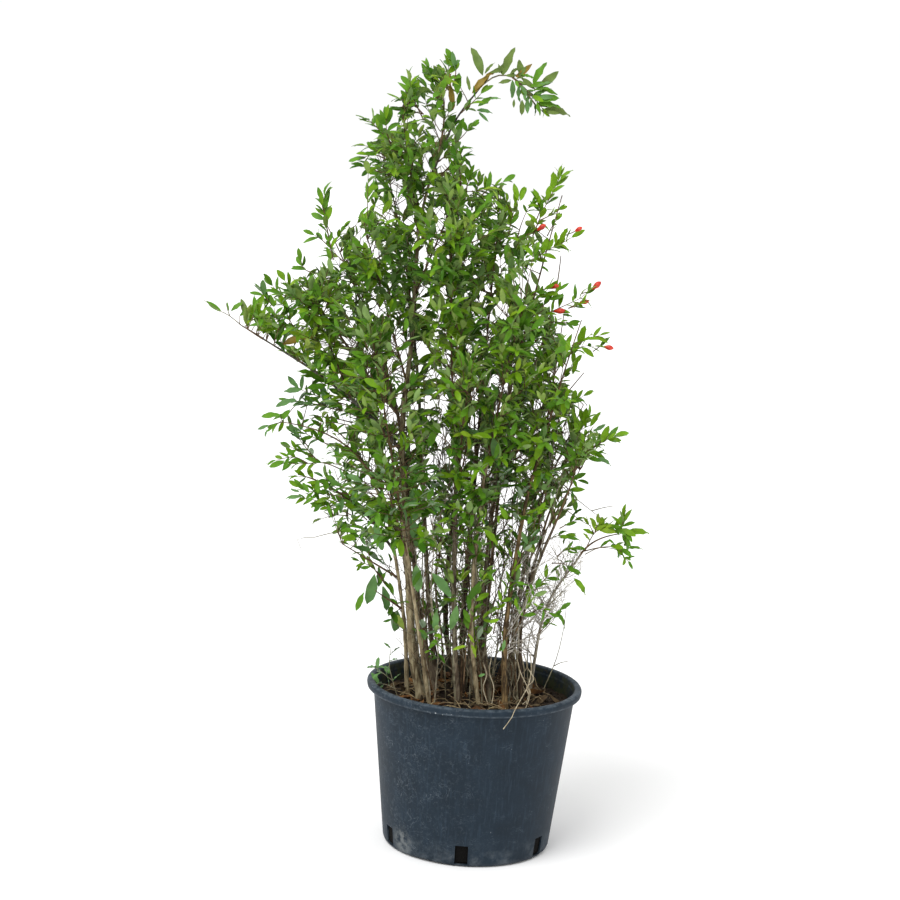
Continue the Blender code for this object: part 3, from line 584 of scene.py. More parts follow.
def join_tubes(name, tubes, sides=TUBE_SIDES):
    """One closed mesh of many tapering tubes, each given by its points and radii."""
    turns = np.arange(sides) * 2 * np.pi / sides
    points, faces, start = [], [], 0
    for path, radii in tubes:
        line = np.array([tuple(p) for p in path])
        way = np.gradient(line, axis=0)
        way /= np.linalg.norm(way, axis=1)[:, None]
        side = np.cross(way, (0.31, 0.17, 0.93) if abs(way[0, 2]) < 0.9 else (0.93, 0.17, 0.31))
        side /= np.linalg.norm(side, axis=1)[:, None]
        other = np.cross(way, side)
        spokes = np.cos(turns)[:, None] * side[:, None] + np.sin(turns)[:, None] * other[:, None]
        rings = line[:, None] + np.array(radii)[:, None, None] * spokes
        points.append(rings.reshape(-1, 3))
        for ring in range(len(line) - 1):
            base = start + ring * sides
            faces += [(base + k, base + (k + 1) % sides, base + sides + (k + 1) % sides, base + sides + k)
                      for k in range(sides)]
        faces.append(tuple(start + k for k in reversed(range(sides))))
        last = start + (len(line) - 1) * sides
        faces.append(tuple(last + k for k in range(sides)))
        start += len(line) * sides
    return mesh_piece(name, np.concatenate(points).tolist(), faces)


# %% Join placed copies of a template into one mesh
def join_copies(name, templates, copies):
    """One mesh of many placed templates; a copy is (template, root, across, along, up, size)."""
    points, faces, start = [], [], 0
    for form, root, across, along, up, size in copies:
        shape, shape_faces = templates[form]
        axes = np.array((tuple(across), tuple(along), tuple(up)))
        points.append(np.array(tuple(root)) + size * shape @ axes)
        faces += [tuple(start + corner for corner in face) for face in shape_faces]
        start += len(shape)
    return mesh_piece(name, np.concatenate(points).tolist(), faces)


# %% [markdown]
# ## Litter on the soil
# Crumbs of mix, curled dead leaves and dry straw lie between the stems. A crumb starts as a primitive
# ball of twenty faces, pulled out of shape; hundreds are scattered by a seeded random rule and sunk a
# little into the surface.

# %% Scatter crumbs
CRUMBS = 900
CRUMB_SIZES = (0.0022, 0.0075)
CRUMB_FORMS = 6

scatter = random.Random(41)
crumb_forms = []
for k in range(CRUMB_FORMS):
    bpy.ops.object.select_all(action="DESELECT")
    bpy.ops.mesh.primitive_ico_sphere_add(subdivisions=1, radius=0.5)
    ball = bpy.context.object
    shape = vertex_array(ball)
    shape *= np.array([scatter.uniform(0.6, 1.2) for _ in range(3)])
    shape += np.array([[scatter.uniform(-0.09, 0.09) for _ in range(3)] for _ in shape])
    crumb_forms.append((shape, [tuple(face.vertices) for face in ball.data.polygons]))
    bpy.data.objects.remove(ball, do_unlink=True)


def on_soil(dice, inset=0.008):
    """A random place on the soil."""
    reach = (soil_radius - inset) * math.sqrt(dice.random())
    turn = dice.uniform(0, 2 * math.pi)
    x, y = reach * math.cos(turn), reach * math.sin(turn)
    return Vector((x, y, soil_height(x, y)))


def random_axes(dice):
    """Three square directions, turned at random."""
    spin = Matrix.Rotation(dice.uniform(0, 6.28), 3, "Z") @ Matrix.Rotation(dice.uniform(0, 3.14), 3, "X")
    return spin.col[0].copy(), spin.col[1].copy(), spin.col[2].copy()


crumbs = []
for _ in range(CRUMBS):
    size = scatter.uniform(*CRUMB_SIZES)
    across, along, up = random_axes(scatter)
    crumbs.append((scatter.randrange(CRUMB_FORMS), on_soil(scatter), across, along, up, size))
finish_piece(join_copies("soil_crumbs", crumb_forms, crumbs), [soil_look], sharp=50.0)

# %% [markdown]
# Dead leaves curl up and go orange-brown, and dry stalks lie across them. The leaves reuse a curled form
# from the same kind of template as the living ones. They are laid almost flat, sunk a little into the
# mix. Straw is thin pale tubes with a bend in them.

# %% Scatter dead leaves and straw
DEAD_LEAVES = 120
DEAD_LEAF_LONG = (0.022, 0.048)
STRAWS = 150
STRAW_LONG = (0.020, 0.080)


def leaf_faces(stations):
    """Faces of a closed leaf: a foot, rings of left, middle, right and underside, and a tip."""
    faces = [(0, 2, 1), (0, 3, 2), (0, 1, 4), (0, 4, 3)]
    for k in range(stations - 1):
        a, b = 1 + 4 * k, 5 + 4 * k
        faces += [(a, a + 1, b + 1, b), (a + 1, a + 2, b + 2, b + 1),
                  (a, b, b + 3, a + 3), (a + 3, b + 3, b + 2, a + 2)]
    last = 4 * stations - 3
    tip = last + 4
    return faces + [(last, last + 1, tip), (last + 1, last + 2, tip), (last, tip, last + 3),
                    (last + 3, tip, last + 2)]


def curled_form(width, curl, stations=6):
    """A dead leaf rolled up along its length, closed, of unit length along +Y."""
    points = [np.array((0.0, -0.5, 0.0))]
    for k in range(stations):
        t = (k + 0.5) / stations
        half = width * math.sin(math.pi * t) ** 0.7 / 2
        lift = curl * (t - 0.5) ** 2 * 1.6
        roll = half * (1.1 + 0.5 * math.sin(5 * t))
        points += [np.array((-half, t - 0.5, lift + roll)), np.array((0.0, t - 0.5, lift)),
                   np.array((half * 0.8, t - 0.5, lift + roll * 0.7)), np.array((0.0, t - 0.5, lift - 0.02))]
    points.append(np.array((0.02, 0.5, curl * 0.4)))
    return np.array(points), leaf_faces(stations)


def litter_material(name, dark, pale):
    """Dry brittle leaf or straw."""
    return two_tone(name, 0.8, 0.2, dark, pale, 13, (0.35, 0.65), 4, (2.0, 0.5))


dead_forms = [curled_form(*values) for values in ((0.30, 0.5), (0.38, 0.2), (0.26, 0.9), (0.34, -0.3))]
dead_leaves = []
for _ in range(DEAD_LEAVES):
    long = scatter.uniform(*DEAD_LEAF_LONG)
    turn = scatter.uniform(0, 2 * math.pi)
    along = Vector((math.cos(turn), math.sin(turn), scatter.uniform(-0.35, 0.35))).normalized()
    tilt = Vector((scatter.uniform(-0.5, 0.5), scatter.uniform(-0.5, 0.5), 0.0))
    across = along.cross(UP + tilt).normalized()
    place = on_soil(scatter, inset=0.020) + UP * scatter.uniform(0.0, 0.006)
    dead_leaves.append((scatter.randrange(len(dead_forms)), place, across, along, across.cross(along), long))
half = len(dead_leaves) // 2
for part, (some, look) in enumerate(((dead_leaves[:half], ("#503622", "#7d5830")),
                                     (dead_leaves[half:], ("#3b2f22", "#6b5a43")))):
    finish_piece(join_copies(f"dead_leaves_{part + 1}", dead_forms, some),
                 [litter_material(f"dead leaf {part + 1}", *look)], sharp=70.0)

straws = []
for _ in range(STRAWS):
    long = scatter.uniform(*STRAW_LONG)
    turn = scatter.uniform(0, 2 * math.pi)
    along = Vector((math.cos(turn), math.sin(turn), scatter.uniform(-0.1, 0.35))).normalized()
    start = on_soil(scatter, inset=0.030) + UP * 0.001
    path = [start + along * long * t + UP * 0.010 * math.sin(math.pi * t) * scatter.uniform(0.2, 1.0)
            + Vector((scatter.uniform(-0.002, 0.002), scatter.uniform(-0.002, 0.002), 0.0))
            for t in (0.0, 0.33, 0.66, 1.0)]
    if all(math.hypot(p.x, p.y) < soil_radius - 0.006 for p in path):
        straws.append((path, [0.0008, 0.0009, 0.0007, 0.0004]))
straw_look = litter_material("dry straw", "#6b5b44", "#a3916e")
finish_piece(join_tubes("dry_straw", straws), [straw_look], sharp=60.0)

# %% [markdown]
# ## The plant's plan
# The stems, boughs and foliage masses are the ones of the solid model, written again in millimetres:
# where each stem stands, the points that it passes and its thickness; which limb each mass grows from,
# where its leading shoot ends and how far its side shoots reach. Only the end of the long bough rises up
# to 15 mm more, and tips are finer. Everything smaller grows from these by rule.

# %% Stems, boughs and masses
# foot, the points passed, then thickness at foot and tip; all in millimetres
STEMS = {
    "stem_main": ((-97, -28), [(-119, -30, 369), (-140, -22, 588), (-158, -14, 760), (-150, -4, 950),
                  (-146, 0, 1150), (-118, 0, 1290)], 15, 4),
    "stem_left": ((-124, -8), [(-137, -16, 420), (-172, -35, 600), (-205, -42, 680)], 8, 5),
    "stem_left_front": ((-80, -78), [(-117, -105, 480), (-148, -130, 640)], 7.5, 5),
    "stem_left_spire": ((-71, 13), [(-112, 30, 438), (-165, 68, 760), (-205, 68, 880)], 11, 5.4),
    "stem_back_left_top": ((-72, 74), [(-96, 100, 430), (-135, 145, 800), (-152, 146, 930)], 10, 5.2),
    "stem_back_dark": ((-40, 108), [(-64, 132, 424), (-52, 180, 780), (-55, 184, 880)], 11, 5.4),
    "stem_centre_front": ((-28, -62), [(-45, -66, 459), (-56, -82, 740), (-64, -90, 820)], 10.5, 5.4),
    "stem_centre": ((-22, 36), [(-28, 45, 430), (-18, 52, 800), (-15, 48, 900)], 11, 5.4),
    "stem_front": ((10, -74), [(-12, -83, 444), (-8, -98, 660), (2, -110, 750)], 9, 5.2),
    "stem_right_spire": ((32, -40), [(8, -40, 460), (26, -22, 800), (48, -20, 930)], 10, 5.2),
    "stem_orange": ((58, -66), [(52, -62, 431), (72, -74, 650), (94, -83, 760)], 11, 5.2),
    "stem_dark_right": ((88, -26), [(80, -12, 432), (112, 10, 600)], 10.5, 5.2),
    "stem_far_right": ((104, 36), [(124, 12, 447), (180, -6, 558)], 6.8, 3.4),
    "stem_back_right": ((60, 86), [(82, 120, 500), (103, 132, 720)], 9.5, 5.2),
    "stem_back": ((10, 118), [(20, 165, 500), (28, 192, 690)], 9, 5.2),
    "stem_back_left": ((-104, 64), [(-146, 116, 500), (-186, 144, 650)], 9, 5.2),
}
# limb, height where it leaves it, the points passed, thickness at both ends
BOUGHS = {
    "bough_left_long": ("stem_main", 735, [(-229, -50, 812), (-320, -62, 878), (-414, -69, 932)], 7.8, 3),
    "bough_left_low": ("stem_left", 550, [(-205, -22, 604), (-250, -14, 638)], 5.8, 4.8),
    "bough_arch": ("stem_main", 1225, [(-96, 4, 1330), (-50, 2, 1400)], 4.2, 2.8),
    "bough_left_upper": ("stem_left_spire", 790, [(-232, 32, 868), (-272, 24, 922)], 6, 4.8),
    "bough_right_upper": ("stem_right_spire", 770, [(60, 20, 850), (82, 30, 920)], 6, 4.8),
    "bough_right_low": ("stem_dark_right", 470, [(108, -44, 560), (130, -56, 625)], 5.8, 4.8),
}
# limb, height where the leading shoot leaves it (None at its tip), tip of the shoot, reach of side shoots
MASSES = {
    "foliage_crown_top": ("stem_main", None, (-122, -4, 1400), 60),
    "foliage_arch": ("bough_arch", None, (68, 2, 1362), 46),
    "foliage_top_left": ("stem_main", 1130, (-190, 0, 1352), 75),
    "foliage_upper_middle": ("stem_main", 1020, (-75, -40, 1225), 80),
    "foliage_upper_left": ("stem_main", 860, (-235, -66, 1120), 80),
    "foliage_left_spire": ("stem_left_spire", None, (-322, 58, 1140), 62),
    "foliage_left_upper": ("bough_left_upper", None, (-362, 10, 1030), 75),
    "foliage_left_far": ("bough_left_long", None, (-456, -74, 956), 52),
    "foliage_left_middle": ("bough_left_long", 830, (-320, -95, 990), 75),
    "foliage_left_out": ("stem_left", None, (-375, -45, 780), 70),
    "foliage_left_low": ("bough_left_low", None, (-346, -12, 680), 60),
    "foliage_left_bottom": ("stem_left", 500, (-255, -60, 565), 50),
    "foliage_left_hanging": ("stem_left", 440, (-190, -70, 484), 40),
    "foliage_right_spire": ("stem_right_spire", None, (106, -18, 1215), 60),
    "foliage_right_top": ("stem_centre", None, (-4, 30, 1195), 80),
    "foliage_right_upper": ("bough_right_upper", None, (112, 30, 1105), 65),
    "foliage_right_middle": ("stem_orange", None, (152, -90, 1000), 70),
    "foliage_right_arm": ("stem_right_spire", 700, (165, -30, 900), 70),
    "foliage_right_shoulder": ("stem_back_right", 600, (172, 62, 830), 70),
    "foliage_right_lobe": ("stem_dark_right", None, (198, 20, 760), 70),
    "foliage_right_low": ("bough_right_low", None, (160, -62, 725), 60),
    "foliage_far_right": ("stem_far_right", None, (252, -18, 606), 46),
    "foliage_front_top": ("stem_centre_front", None, (-84, -112, 1110), 80),
    "foliage_front_middle": ("stem_centre_front", 680, (-42, -165, 870), 75),
    "foliage_front_right": ("stem_front", None, (45, -135, 1010), 80),
    "foliage_front_left": ("stem_left_front", None, (-205, -165, 920), 80),
    "foliage_front_low": ("stem_left_front", 560, (-175, -180, 700), 55),
    "foliage_centre": ("stem_centre", 700, (-34, -32, 885), 75),
    "foliage_back_left_top": ("stem_back_left_top", None, (-218, 120, 1240), 80),
    "foliage_back_top": ("stem_back_dark", None, (-85, 140, 1190), 80),
    "foliage_back_right": ("stem_back_right", None, (128, 142, 990), 80),
    "foliage_back": ("stem_back", None, (35, 205, 960), 80),
    "foliage_back_left": ("stem_back_left", None, (-250, 160, 900), 80),
    "foliage_back_low": ("stem_back_left", 540, (-235, 110, 690), 60),
    "foliage_back_right_low": ("stem_back_right", 500, (178, 168, 690), 65),
    "dead_twigs_right": ("stem_orange", 410, (150, -90, 545), 85),
}
BARE = "dead_twigs_right"       # the one mass with no leaves
HANGING = "foliage_left_hanging"
print(len(STEMS), "stems,", len(BOUGHS), "boughs,", len(MASSES), "masses")

# %% [markdown]
# ## Paths
# A limb follows a smooth curve through its points (Catmull and Rom's rule), cut into even steps a few
# millimetres long so that the bark has something to be shaped from. A leading shoot leaves its limb along
# the limb's own direction and bends to its tip on a simple Bezier curve.

# %% Curves that limbs and shoots follow
RING_STEP = 0.0075
FLARE = 0.45
FLARE_TALL = 0.012
GAP = 0.0003
LEADER_STEPS = 14
GOLDEN_TURN = math.radians(137.5)
HEARTS = (0.2, 0.6, 1.0)


def metres(values):
    """A place in metres from one in millimetres."""
    return Vector([value / 1000 for value in values])


def smooth_path(points, steps):
    """Points evenly spread on a smooth curve that passes through all the given points."""
    ends = [points[0] * 2 - points[1]] + points + [points[-1] * 2 - points[-2]]
    fine = []
    for a, b, c, d in zip(ends, ends[1:], ends[2:], ends[3:]):
        for k in range(12):
            t = k / 12
            fine.append(0.5 * (b * 2 + (c - a) * t + (a * 2 - b * 5 + c * 4 - d) * t * t
                               + (b * 3 - a - c * 3 + d) * t ** 3))
    fine.append(points[-1].copy())
    line = np.array([tuple(p) for p in fine])
    reach = np.concatenate(([0.0], np.cumsum(np.linalg.norm(np.diff(line, axis=0), axis=1))))
    goals = np.linspace(0.0, reach[-1], steps + 1)
    return [Vector(spot) for spot in zip(*(np.interp(goals, reach, line[:, k]) for k in range(3)))]


def path_length(path):
    """Length of a path."""
    return sum((b - a).length for a, b in zip(path, path[1:]))


def along_path(path, part):
    """Point and direction at a share of a path's runs."""
    spot = part * (len(path) - 1)
    first = min(int(spot), len(path) - 2)
    return path[first].lerp(path[first + 1], spot - first), (path[first + 1] - path[first]).normalized()


def turned_away(way, turn, lean):
    """A direction that leans off another by an angle, at a turn round it."""
    side = way.cross(Vector((0.31, 0.17, 0.93))).normalized()
    side = Matrix.Rotation(turn, 3, way) @ side
    return (way * math.cos(lean) + side * math.sin(lean)).normalized()


def at_height(limb, height):
    """Point and direction where a limb passes a height, or its tip for None."""
    path = limb[0]
    if height is not None:
        for a, b in zip(path, path[1:]):
            if a.z <= height <= b.z:
                return a.lerp(b, (height - a.z) / (b.z - a.z)), (b - a).normalized()
    return path[-1].copy(), (path[-1] - path[-2]).normalized()


def leader_path(limb, height, tip):
    """The leading shoot of a mass, from its limb to its tip."""
    root, along = at_height(limb, height)
    way = along if height is None else (tip - root).normalized()
    bend = root + way * (tip - root).length * 0.5
    parts = [k / LEADER_STEPS for k in range(LEADER_STEPS + 1)]
    return [root * (1 - t) ** 2 + bend * 2 * t * (1 - t) + tip * t * t for t in parts]


limbs = {}
for name, (foot, via, foot_wide, tip_wide) in STEMS.items():
    route = [Vector((foot[0] / 1000, foot[1] / 1000, SOIL_TOP + GAP))] + [metres(p) for p in via]
    path = smooth_path(route, round(path_length(route) / RING_STEP))
    wide = np.linspace(foot_wide / 1000, tip_wide / 1000, len(path)) / 2
    wide *= 1 + FLARE * np.exp(-((np.arange(len(path)) * RING_STEP) / FLARE_TALL) ** 1.5)
    limbs[name] = (path, wide.tolist())
for name, (parent, height, via, butt_wide, tip_wide) in BOUGHS.items():
    route = [at_height(limbs[parent], height / 1000)[0]] + [metres(p) for p in via]
    path = smooth_path(route, round(path_length(route) / RING_STEP))
    limbs[name] = (path, (np.linspace(butt_wide / 1000, tip_wide / 1000, len(path)) / 2).tolist())
leaders = {name: leader_path(limbs[limb], height and height / 1000, metres(tip))
           for name, (limb, height, tip, reach) in MASSES.items()}
ARCH_RUN = [(-30, 2, 1416), (-12, 1, 1421), (10, 0, 1416), (30, 0, 1396), (46, 1, 1374), (64, 2, 1361),
            (92, 2, 1360)]
arch_route = [limbs["bough_arch"][0][-1]] + [metres(p) for p in ARCH_RUN]
leaders["foliage_arch"] = smooth_path(arch_route, LEADER_STEPS)
print("metres of stem and bough", round(sum(path_length(path) for path, radii in limbs.values()), 2))

# %% [markdown]
# ## Stems with bark
# A stem is a curve with a round bevel, turned into a mesh, because that is how a rod that bends is made by
# hand. Its bark is then real relief: long shallow ridges that wander round the stem, a swelling at each
# old leaf joint every few centimetres, and a flare at the soil.

# %% Shape the bark
BARK_SIDES_RESOLUTION = 4
RIDGE_DEPTH = 0.075
RIDGE_LONG_MM = 42.0
JOINT_SPACING = (0.034, 0.062)
JOINT_SWELL = 0.17
JOINT_LONG = 0.0042


def joint_heights(dice, long):
    """Where the old leaf joints stand along a limb."""
    spots, spot = [], dice.uniform(*JOINT_SPACING)
    while spot < long:
        spots.append(spot)
        spot += dice.uniform(*JOINT_SPACING)
    return spots


def bark_limb(name, number):
    """One stem or bough with ridges and joints in its surface."""
    path, radii = limbs[name]
    curve = bpy.data.curves.new(name, "CURVE")
    curve.dimensions = "3D"
    curve.bevel_depth = 1.0
    curve.bevel_resolution = BARK_SIDES_RESOLUTION
    curve.use_fill_caps = True
    run = curve.splines.new("POLY")
    run.points.add(len(path) - 1)
    for spot, place, radius in zip(run.points, path, radii):
        spot.co = (*place, 1.0)
        spot.radius = radius
    piece = bpy.data.objects.new(name.replace("_", "-") + "-bark", curve)
    bpy.context.scene.collection.objects.link(piece)
    only(piece)
    bpy.ops.object.convert(target="MESH")
    bpy.ops.object.mode_set(mode="EDIT")
    bpy.ops.mesh.select_all(action="SELECT")
    bpy.ops.mesh.remove_doubles(threshold=0.00002)
    bpy.ops.mesh.normals_make_consistent(inside=False)
    bpy.ops.object.mode_set(mode="OBJECT")
    joints = np.array(joint_heights(random.Random(number + 500), path_length(path)))
    tree = kdtree.KDTree(len(path))
    for k, spot in enumerate(path):
        tree.insert(spot, k)
    tree.balance()
    places = vertex_array(piece)
    for k, place in enumerate(places):
        centre, ring, far = tree.find(place)
        out = Vector(place) - centre
        long = ring * RING_STEP
        round_spot = out.normalized() * 1.6
        wave = noise.noise(Vector((round_spot.x + number * 7.3, round_spot.y,
                                   long * per_metre(RIDGE_LONG_MM))))
        fine = noise.noise(Vector((round_spot.x * 3 + number, round_spot.y * 3, long * per_metre(13.0))))
        swell = JOINT_SWELL * float(np.exp(-((joints - long) / JOINT_LONG) ** 2).sum())
        places[k] = centre + out * (1 + RIDGE_DEPTH * (wave + 0.5 * fine) * 1.4 + swell)
    set_vertices(piece, places)
    return piece


# %% [markdown]
# Young pomegranate bark is thin and grey-tan, and one stem here is ochre-brown. A darker, redder bark is
# painted shade on the stems that stand deep in the clump. Long pale flakes run up the stem, so the noise is
# stretched along Z, which all of the stems nearly follow.

# %% Make the bark materials and dress the limbs
BARK_STRETCH = 0.16
BARKS = {
    "tan": ("grey-tan pomegranate bark", "#5c4f39", "#8c7e62", "#b0a483"),
    "brown": ("brown pomegranate bark", "#453a2e", "#716352", "#948871"),
    "grey": ("dark grey bark", "#2d2b27", "#57534a", "#7b776c"),
    "pale": ("pale grey bark", "#6a6253", "#948b79", "#b4ac9b"),
    # painted shade: this darker, redder bark goes to the stems that stand deep in the clump
    "dark": ("dark bark, painted shade", "#2a2119", "#4a3c2d", "#68593f"),
    "orange": ("ochre-brown bark", "#3d3020", "#6d583a", "#8f7850"),
}
STEM_BARKS = {
    "stem_main": "tan", "stem_left": "tan", "stem_left_front": "tan", "stem_left_spire": "brown",
    "stem_back_left_top": "brown", "stem_back_dark": "dark", "stem_centre_front": "brown",
    "stem_centre": "dark", "stem_front": "tan", "stem_right_spire": "brown", "stem_orange": "orange",
    "stem_dark_right": "dark", "stem_far_right": "pale", "stem_back_right": "brown",
    "stem_back": "dark", "stem_back_left": "brown",
    "bough_left_long": "grey", "bough_arch": "grey", "bough_left_low": "grey",
}


def bark_material(name, dark, middle, pale):
    """Thin flaking bark in three tones."""
    look, tree, shader = new_material(name, 0.82, specular=0.25)
    where = object_places(tree)
    long = stretched(tree, where, BARK_STRETCH)
    colour = coat(tree, dark, middle, patches(tree, where, 34, 0.36, 0.64))
    colour = coat(tree, colour, pale, patches(tree, long, 4.2, 0.47, 0.62, detail=4, roughness=0.65), 0.75)
    colour = coat(tree, colour, dark, patches(tree, long, 2.4, 0.58, 0.68, roughness=0.6), 0.6)
    tree.links.new(colour, shader.inputs["Base Color"])
    rough_relief(tree, shader, long, 2.8, 0.9, 0.8, detail=5, roughness=0.7)
    return look


barks = {key: bark_material(*values) for key, values in BARKS.items()}
for number, name in enumerate(limbs):
    finish_piece(bark_limb(name, number), [barks[STEM_BARKS.get(name, "brown")]], [name], sharp=70.0)

# %% [markdown]
# ## Where wood is
# Shoots must start on wood, and leaves must not pass through it. Two search trees answer both questions:
# one of every limb's points with its thickness, and one of limbs and leading shoots together, from which
# a further shoot can start. A third tells which mass a place belongs to.

# %% Search trees of the wood
LEAF_CLEAR = 0.0010


def tree_of(spots):
    """A search tree of places."""
    made = kdtree.KDTree(len(spots))
    for k, spot in enumerate(spots):
        made.insert(spot, k)
    made.balance()
    return made


limb_spots = [(spot, radius) for path, radii in limbs.values() for spot, radius in zip(path, radii)]
limb_tree = tree_of([spot for spot, radius in limb_spots])
wood_spots = [spot for path, radii in limbs.values() for spot in path[len(path) // 3:]]
wood_spots += [spot for path in leaders.values() for spot in path]
hearts = [(name, along_path([leaders[name][k] for k in (0, 5, 9, 14)], part)[0])
          for name in MASSES for part in HEARTS]
heart_tree = tree_of([spot for name, spot in hearts])


def touches_limb(spot):
    """True where a place lies in a limb or against it."""
    near, index, far = limb_tree.find(spot)
    return far < limb_spots[index][1] + LEAF_CLEAR


def in_own_space(name, spot, margin=0.015):
    """True where a place is nearer this mass than any other, give or take a margin."""
    found = heart_tree.find_n(spot, 6)
    own = [far for near, index, far in found if hearts[index][0] == name]
    return bool(own) and own[0] < found[0][2] + margin


# %% [markdown]
# ## The crown's outline
# Seen from the front the crown has a clear outline: a hooked top, a long low arm to the left and a lobe
# to the right, and sky shows through it in many small openings. Both are stated in millimetres on the
# upright plane through the pot's middle. A leaf is tested where the camera sees it against that plane,
# and one that would stand out too far or close an opening isn't grown. Shoots that stand out of the
# outline one by one are stated further down.

# %% State the outline and the openings, and test places
OUTLINE = [
    (-165, 330), (-168, 430), (-180, 500), (-215, 545), (-262, 570), (-285, 605), (-305, 640), (-290, 668),
    (-305, 700), (-305, 730), (-290, 760), (-300, 800), (-318, 845), (-345, 880), (-378, 905), (-405, 932),
    (-440, 952), (-462, 972), (-440, 1000), (-422, 1012), (-398, 1030), (-370, 1042), (-340, 1054),
    (-326, 1092), (-300, 1108), (-282, 1126), (-268, 1142), (-252, 1150), (-252, 1190), (-248, 1215),
    (-238, 1225), (-252, 1245), (-250, 1262), (-238, 1275), (-250, 1296), (-236, 1316), (-212, 1320),
    (-200, 1312), (-192, 1332), (-184, 1360), (-182, 1400), (-165, 1416), (-150, 1432), (-118, 1434),
    (-102, 1420), (-88, 1412), (-90, 1380), (-98, 1352), (-84, 1346), (-82, 1300), (-84, 1282), (-72, 1280),
    (-72, 1258), (-84, 1238), (-62, 1214), (-40, 1218), (-18, 1232), (0, 1230), (8, 1226), (6, 1206),
    (22, 1192), (36, 1172), (62, 1156), (78, 1128), (68, 1104), (44, 1078), (28, 1060), (44, 1042),
    (82, 1026), (106, 1008), (108, 984), (132, 964), (148, 942), (136, 924), (120, 904), (130, 882),
    (158, 862), (164, 846), (150, 830), (158, 818), (192, 800), (218, 786), (208, 760), (186, 740),
    (156, 722), (150, 702), (132, 682), (132, 656), (112, 636), (98, 600), (90, 540), (88, 440), (80, 330),
]
# places where the sky shows through: middle and half extents
SKY = [
    (-113, 1377, 5, 16), (-84, 1370, 8, 12), (-124, 1324, 9, 20), (-116, 1286, 4, 16),
    (-113, 1255, 13, 9), (-142, 1262, 6, 13), (-198, 1338, 10, 12), (-223, 1264, 11, 5),
    (-193, 1214, 11, 12), (-188, 1186, 9, 10), (-176, 1180, 5, 13), (-218, 1172, 5, 10), (-203, 1163, 9, 9),
    (-172, 1154, 9, 6), (-110, 1173, 8, 11), (-108, 1148, 9, 6), (-254, 1122, 5, 19), (-289, 1090, 9, 11),
    (-291, 1075, 9, 6), (-231, 1107, 10, 8), (-220, 1090, 6, 11), (-155, 1130, 4, 13), (-139, 1095, 8, 10),
    (-130, 1077, 6, 8), (-136, 1032, 8, 12), (-133, 998, 8, 14), (-224, 1018, 4, 6), (-213, 992, 12, 9),
    (-268, 987, 6, 6), (-261, 963, 5, 6), (-311, 987, 7, 9), (-260, 928, 15, 10), (-226, 914, 11, 8),
    (-177, 938, 13, 11), (-138, 934, 10, 6), (-160, 914, 8, 6), (-127, 917, 10, 5), (-277, 905, 11, 8),
    (-312, 921, 7, 11), (-360, 962, 9, 5), (-394, 982, 7, 3), (-111, 1118, 8, 8), (-55, 1178, 4, 6),
    (30, 1168, 9, 11), (50, 1182, 9, 10), (-46, 1127, 5, 9), (-58, 1088, 5, 7),
    (7, 1087, 5, 14), (-18, 1045, 10, 7), (-28, 1024, 5, 11), (-97, 1027, 5, 12), (10, 1006, 12, 12),
    (-10, 988, 7, 6), (-14, 964, 6, 6), (42, 1030, 5, 7), (-85, 913, 6, 9), (-46, 933, 6, 8),
    (38, 905, 6, 4), (-276, 864, 8, 6), (-226, 872, 6, 10), (-187, 890, 6, 13), (-164, 886, 11, 9),
    (-166, 862, 4, 9), (-267, 815, 10, 8), (-284, 788, 10, 13), (-262, 788, 8, 7), (-204, 806, 4, 8),
    (-180, 798, 8, 8), (-156, 787, 6, 10), (-230, 760, 10, 6), (-271, 758, 9, 6), (-226, 722, 9, 10),
    (-186, 731, 6, 8), (-208, 705, 6, 14), (-284, 694, 8, 6), (-277, 674, 5, 5), (-222, 676, 6, 9),
    (-176, 650, 8, 6), (-208, 652, 7, 9), (-278, 637, 6, 6), (-133, 889, 6, 6), (-108, 880, 6, 6),
    (-137, 817, 5, 8), (-113, 824, 5, 7), (-168, 825, 6, 6),
    (-188, 815, 8, 8), (-164, 800, 8, 8), (-88, 832, 8, 12), (-70, 872, 8, 9), (4, 873, 10, 10),
    (27, 862, 8, 10), (-31, 843, 9, 9), (14, 823, 6, 14), (-26, 796, 12, 14), (-82, 762, 12, 16),
    (-84, 725, 11, 14), (-107, 720, 5, 7), (-138, 745, 6, 12), (-43, 722, 6, 14),
    (-20, 745, 9, 9), (7, 703, 7, 8), (60, 738, 7, 7), (38, 666, 11, 13), (-14, 684, 8, 10),
    (16, 632, 13, 15), (34, 608, 10, 12), (68, 603, 12, 14), (-100, 602, 8, 14), (-60, 668, 5, 9),
    (118, 892, 11, 11), (86, 836, 9, 8), (110, 815, 9, 6), (138, 802, 7, 9), (143, 782, 6, 8),
    (173, 800, 3, 9), (86, 785, 7, 5), (80, 705, 6, 7), (128, 732, 12, 10), (106, 662, 6, 9),
]
EYE_FAR = -CAMERA_PLACE[1]


def seen_at(spot):
    """Where the camera sees a place against the upright plane through the pot's middle."""
    share = EYE_FAR / (EYE_FAR + spot.y)
    return spot.x * share, CAMERA_PLACE[2] + (spot.z - CAMERA_PLACE[2]) * share


def seen_within(spot, shape):
    """True where the camera sees a place within a closed shape, stated in millimetres."""
    x, z = [value * 1000 for value in seen_at(spot)]
    inside = False
    for (ax, az), (bx, bz) in zip(shape, shape[1:] + shape[:1]):
        if (az > z) != (bz > z) and x < ax + (bx - ax) * (z - az) / (bz - az):
            inside = not inside
    return inside


def in_outline(spot):
    """True where the camera sees a place within the crown's outline."""
    return seen_within(spot, OUTLINE)


SKY_REACH = 0.020
SKY_MARGIN = 1.3
sky_tree = tree_of([Vector((x, 0.0, z)) / 1000 for x, z, wide, tall in SKY])


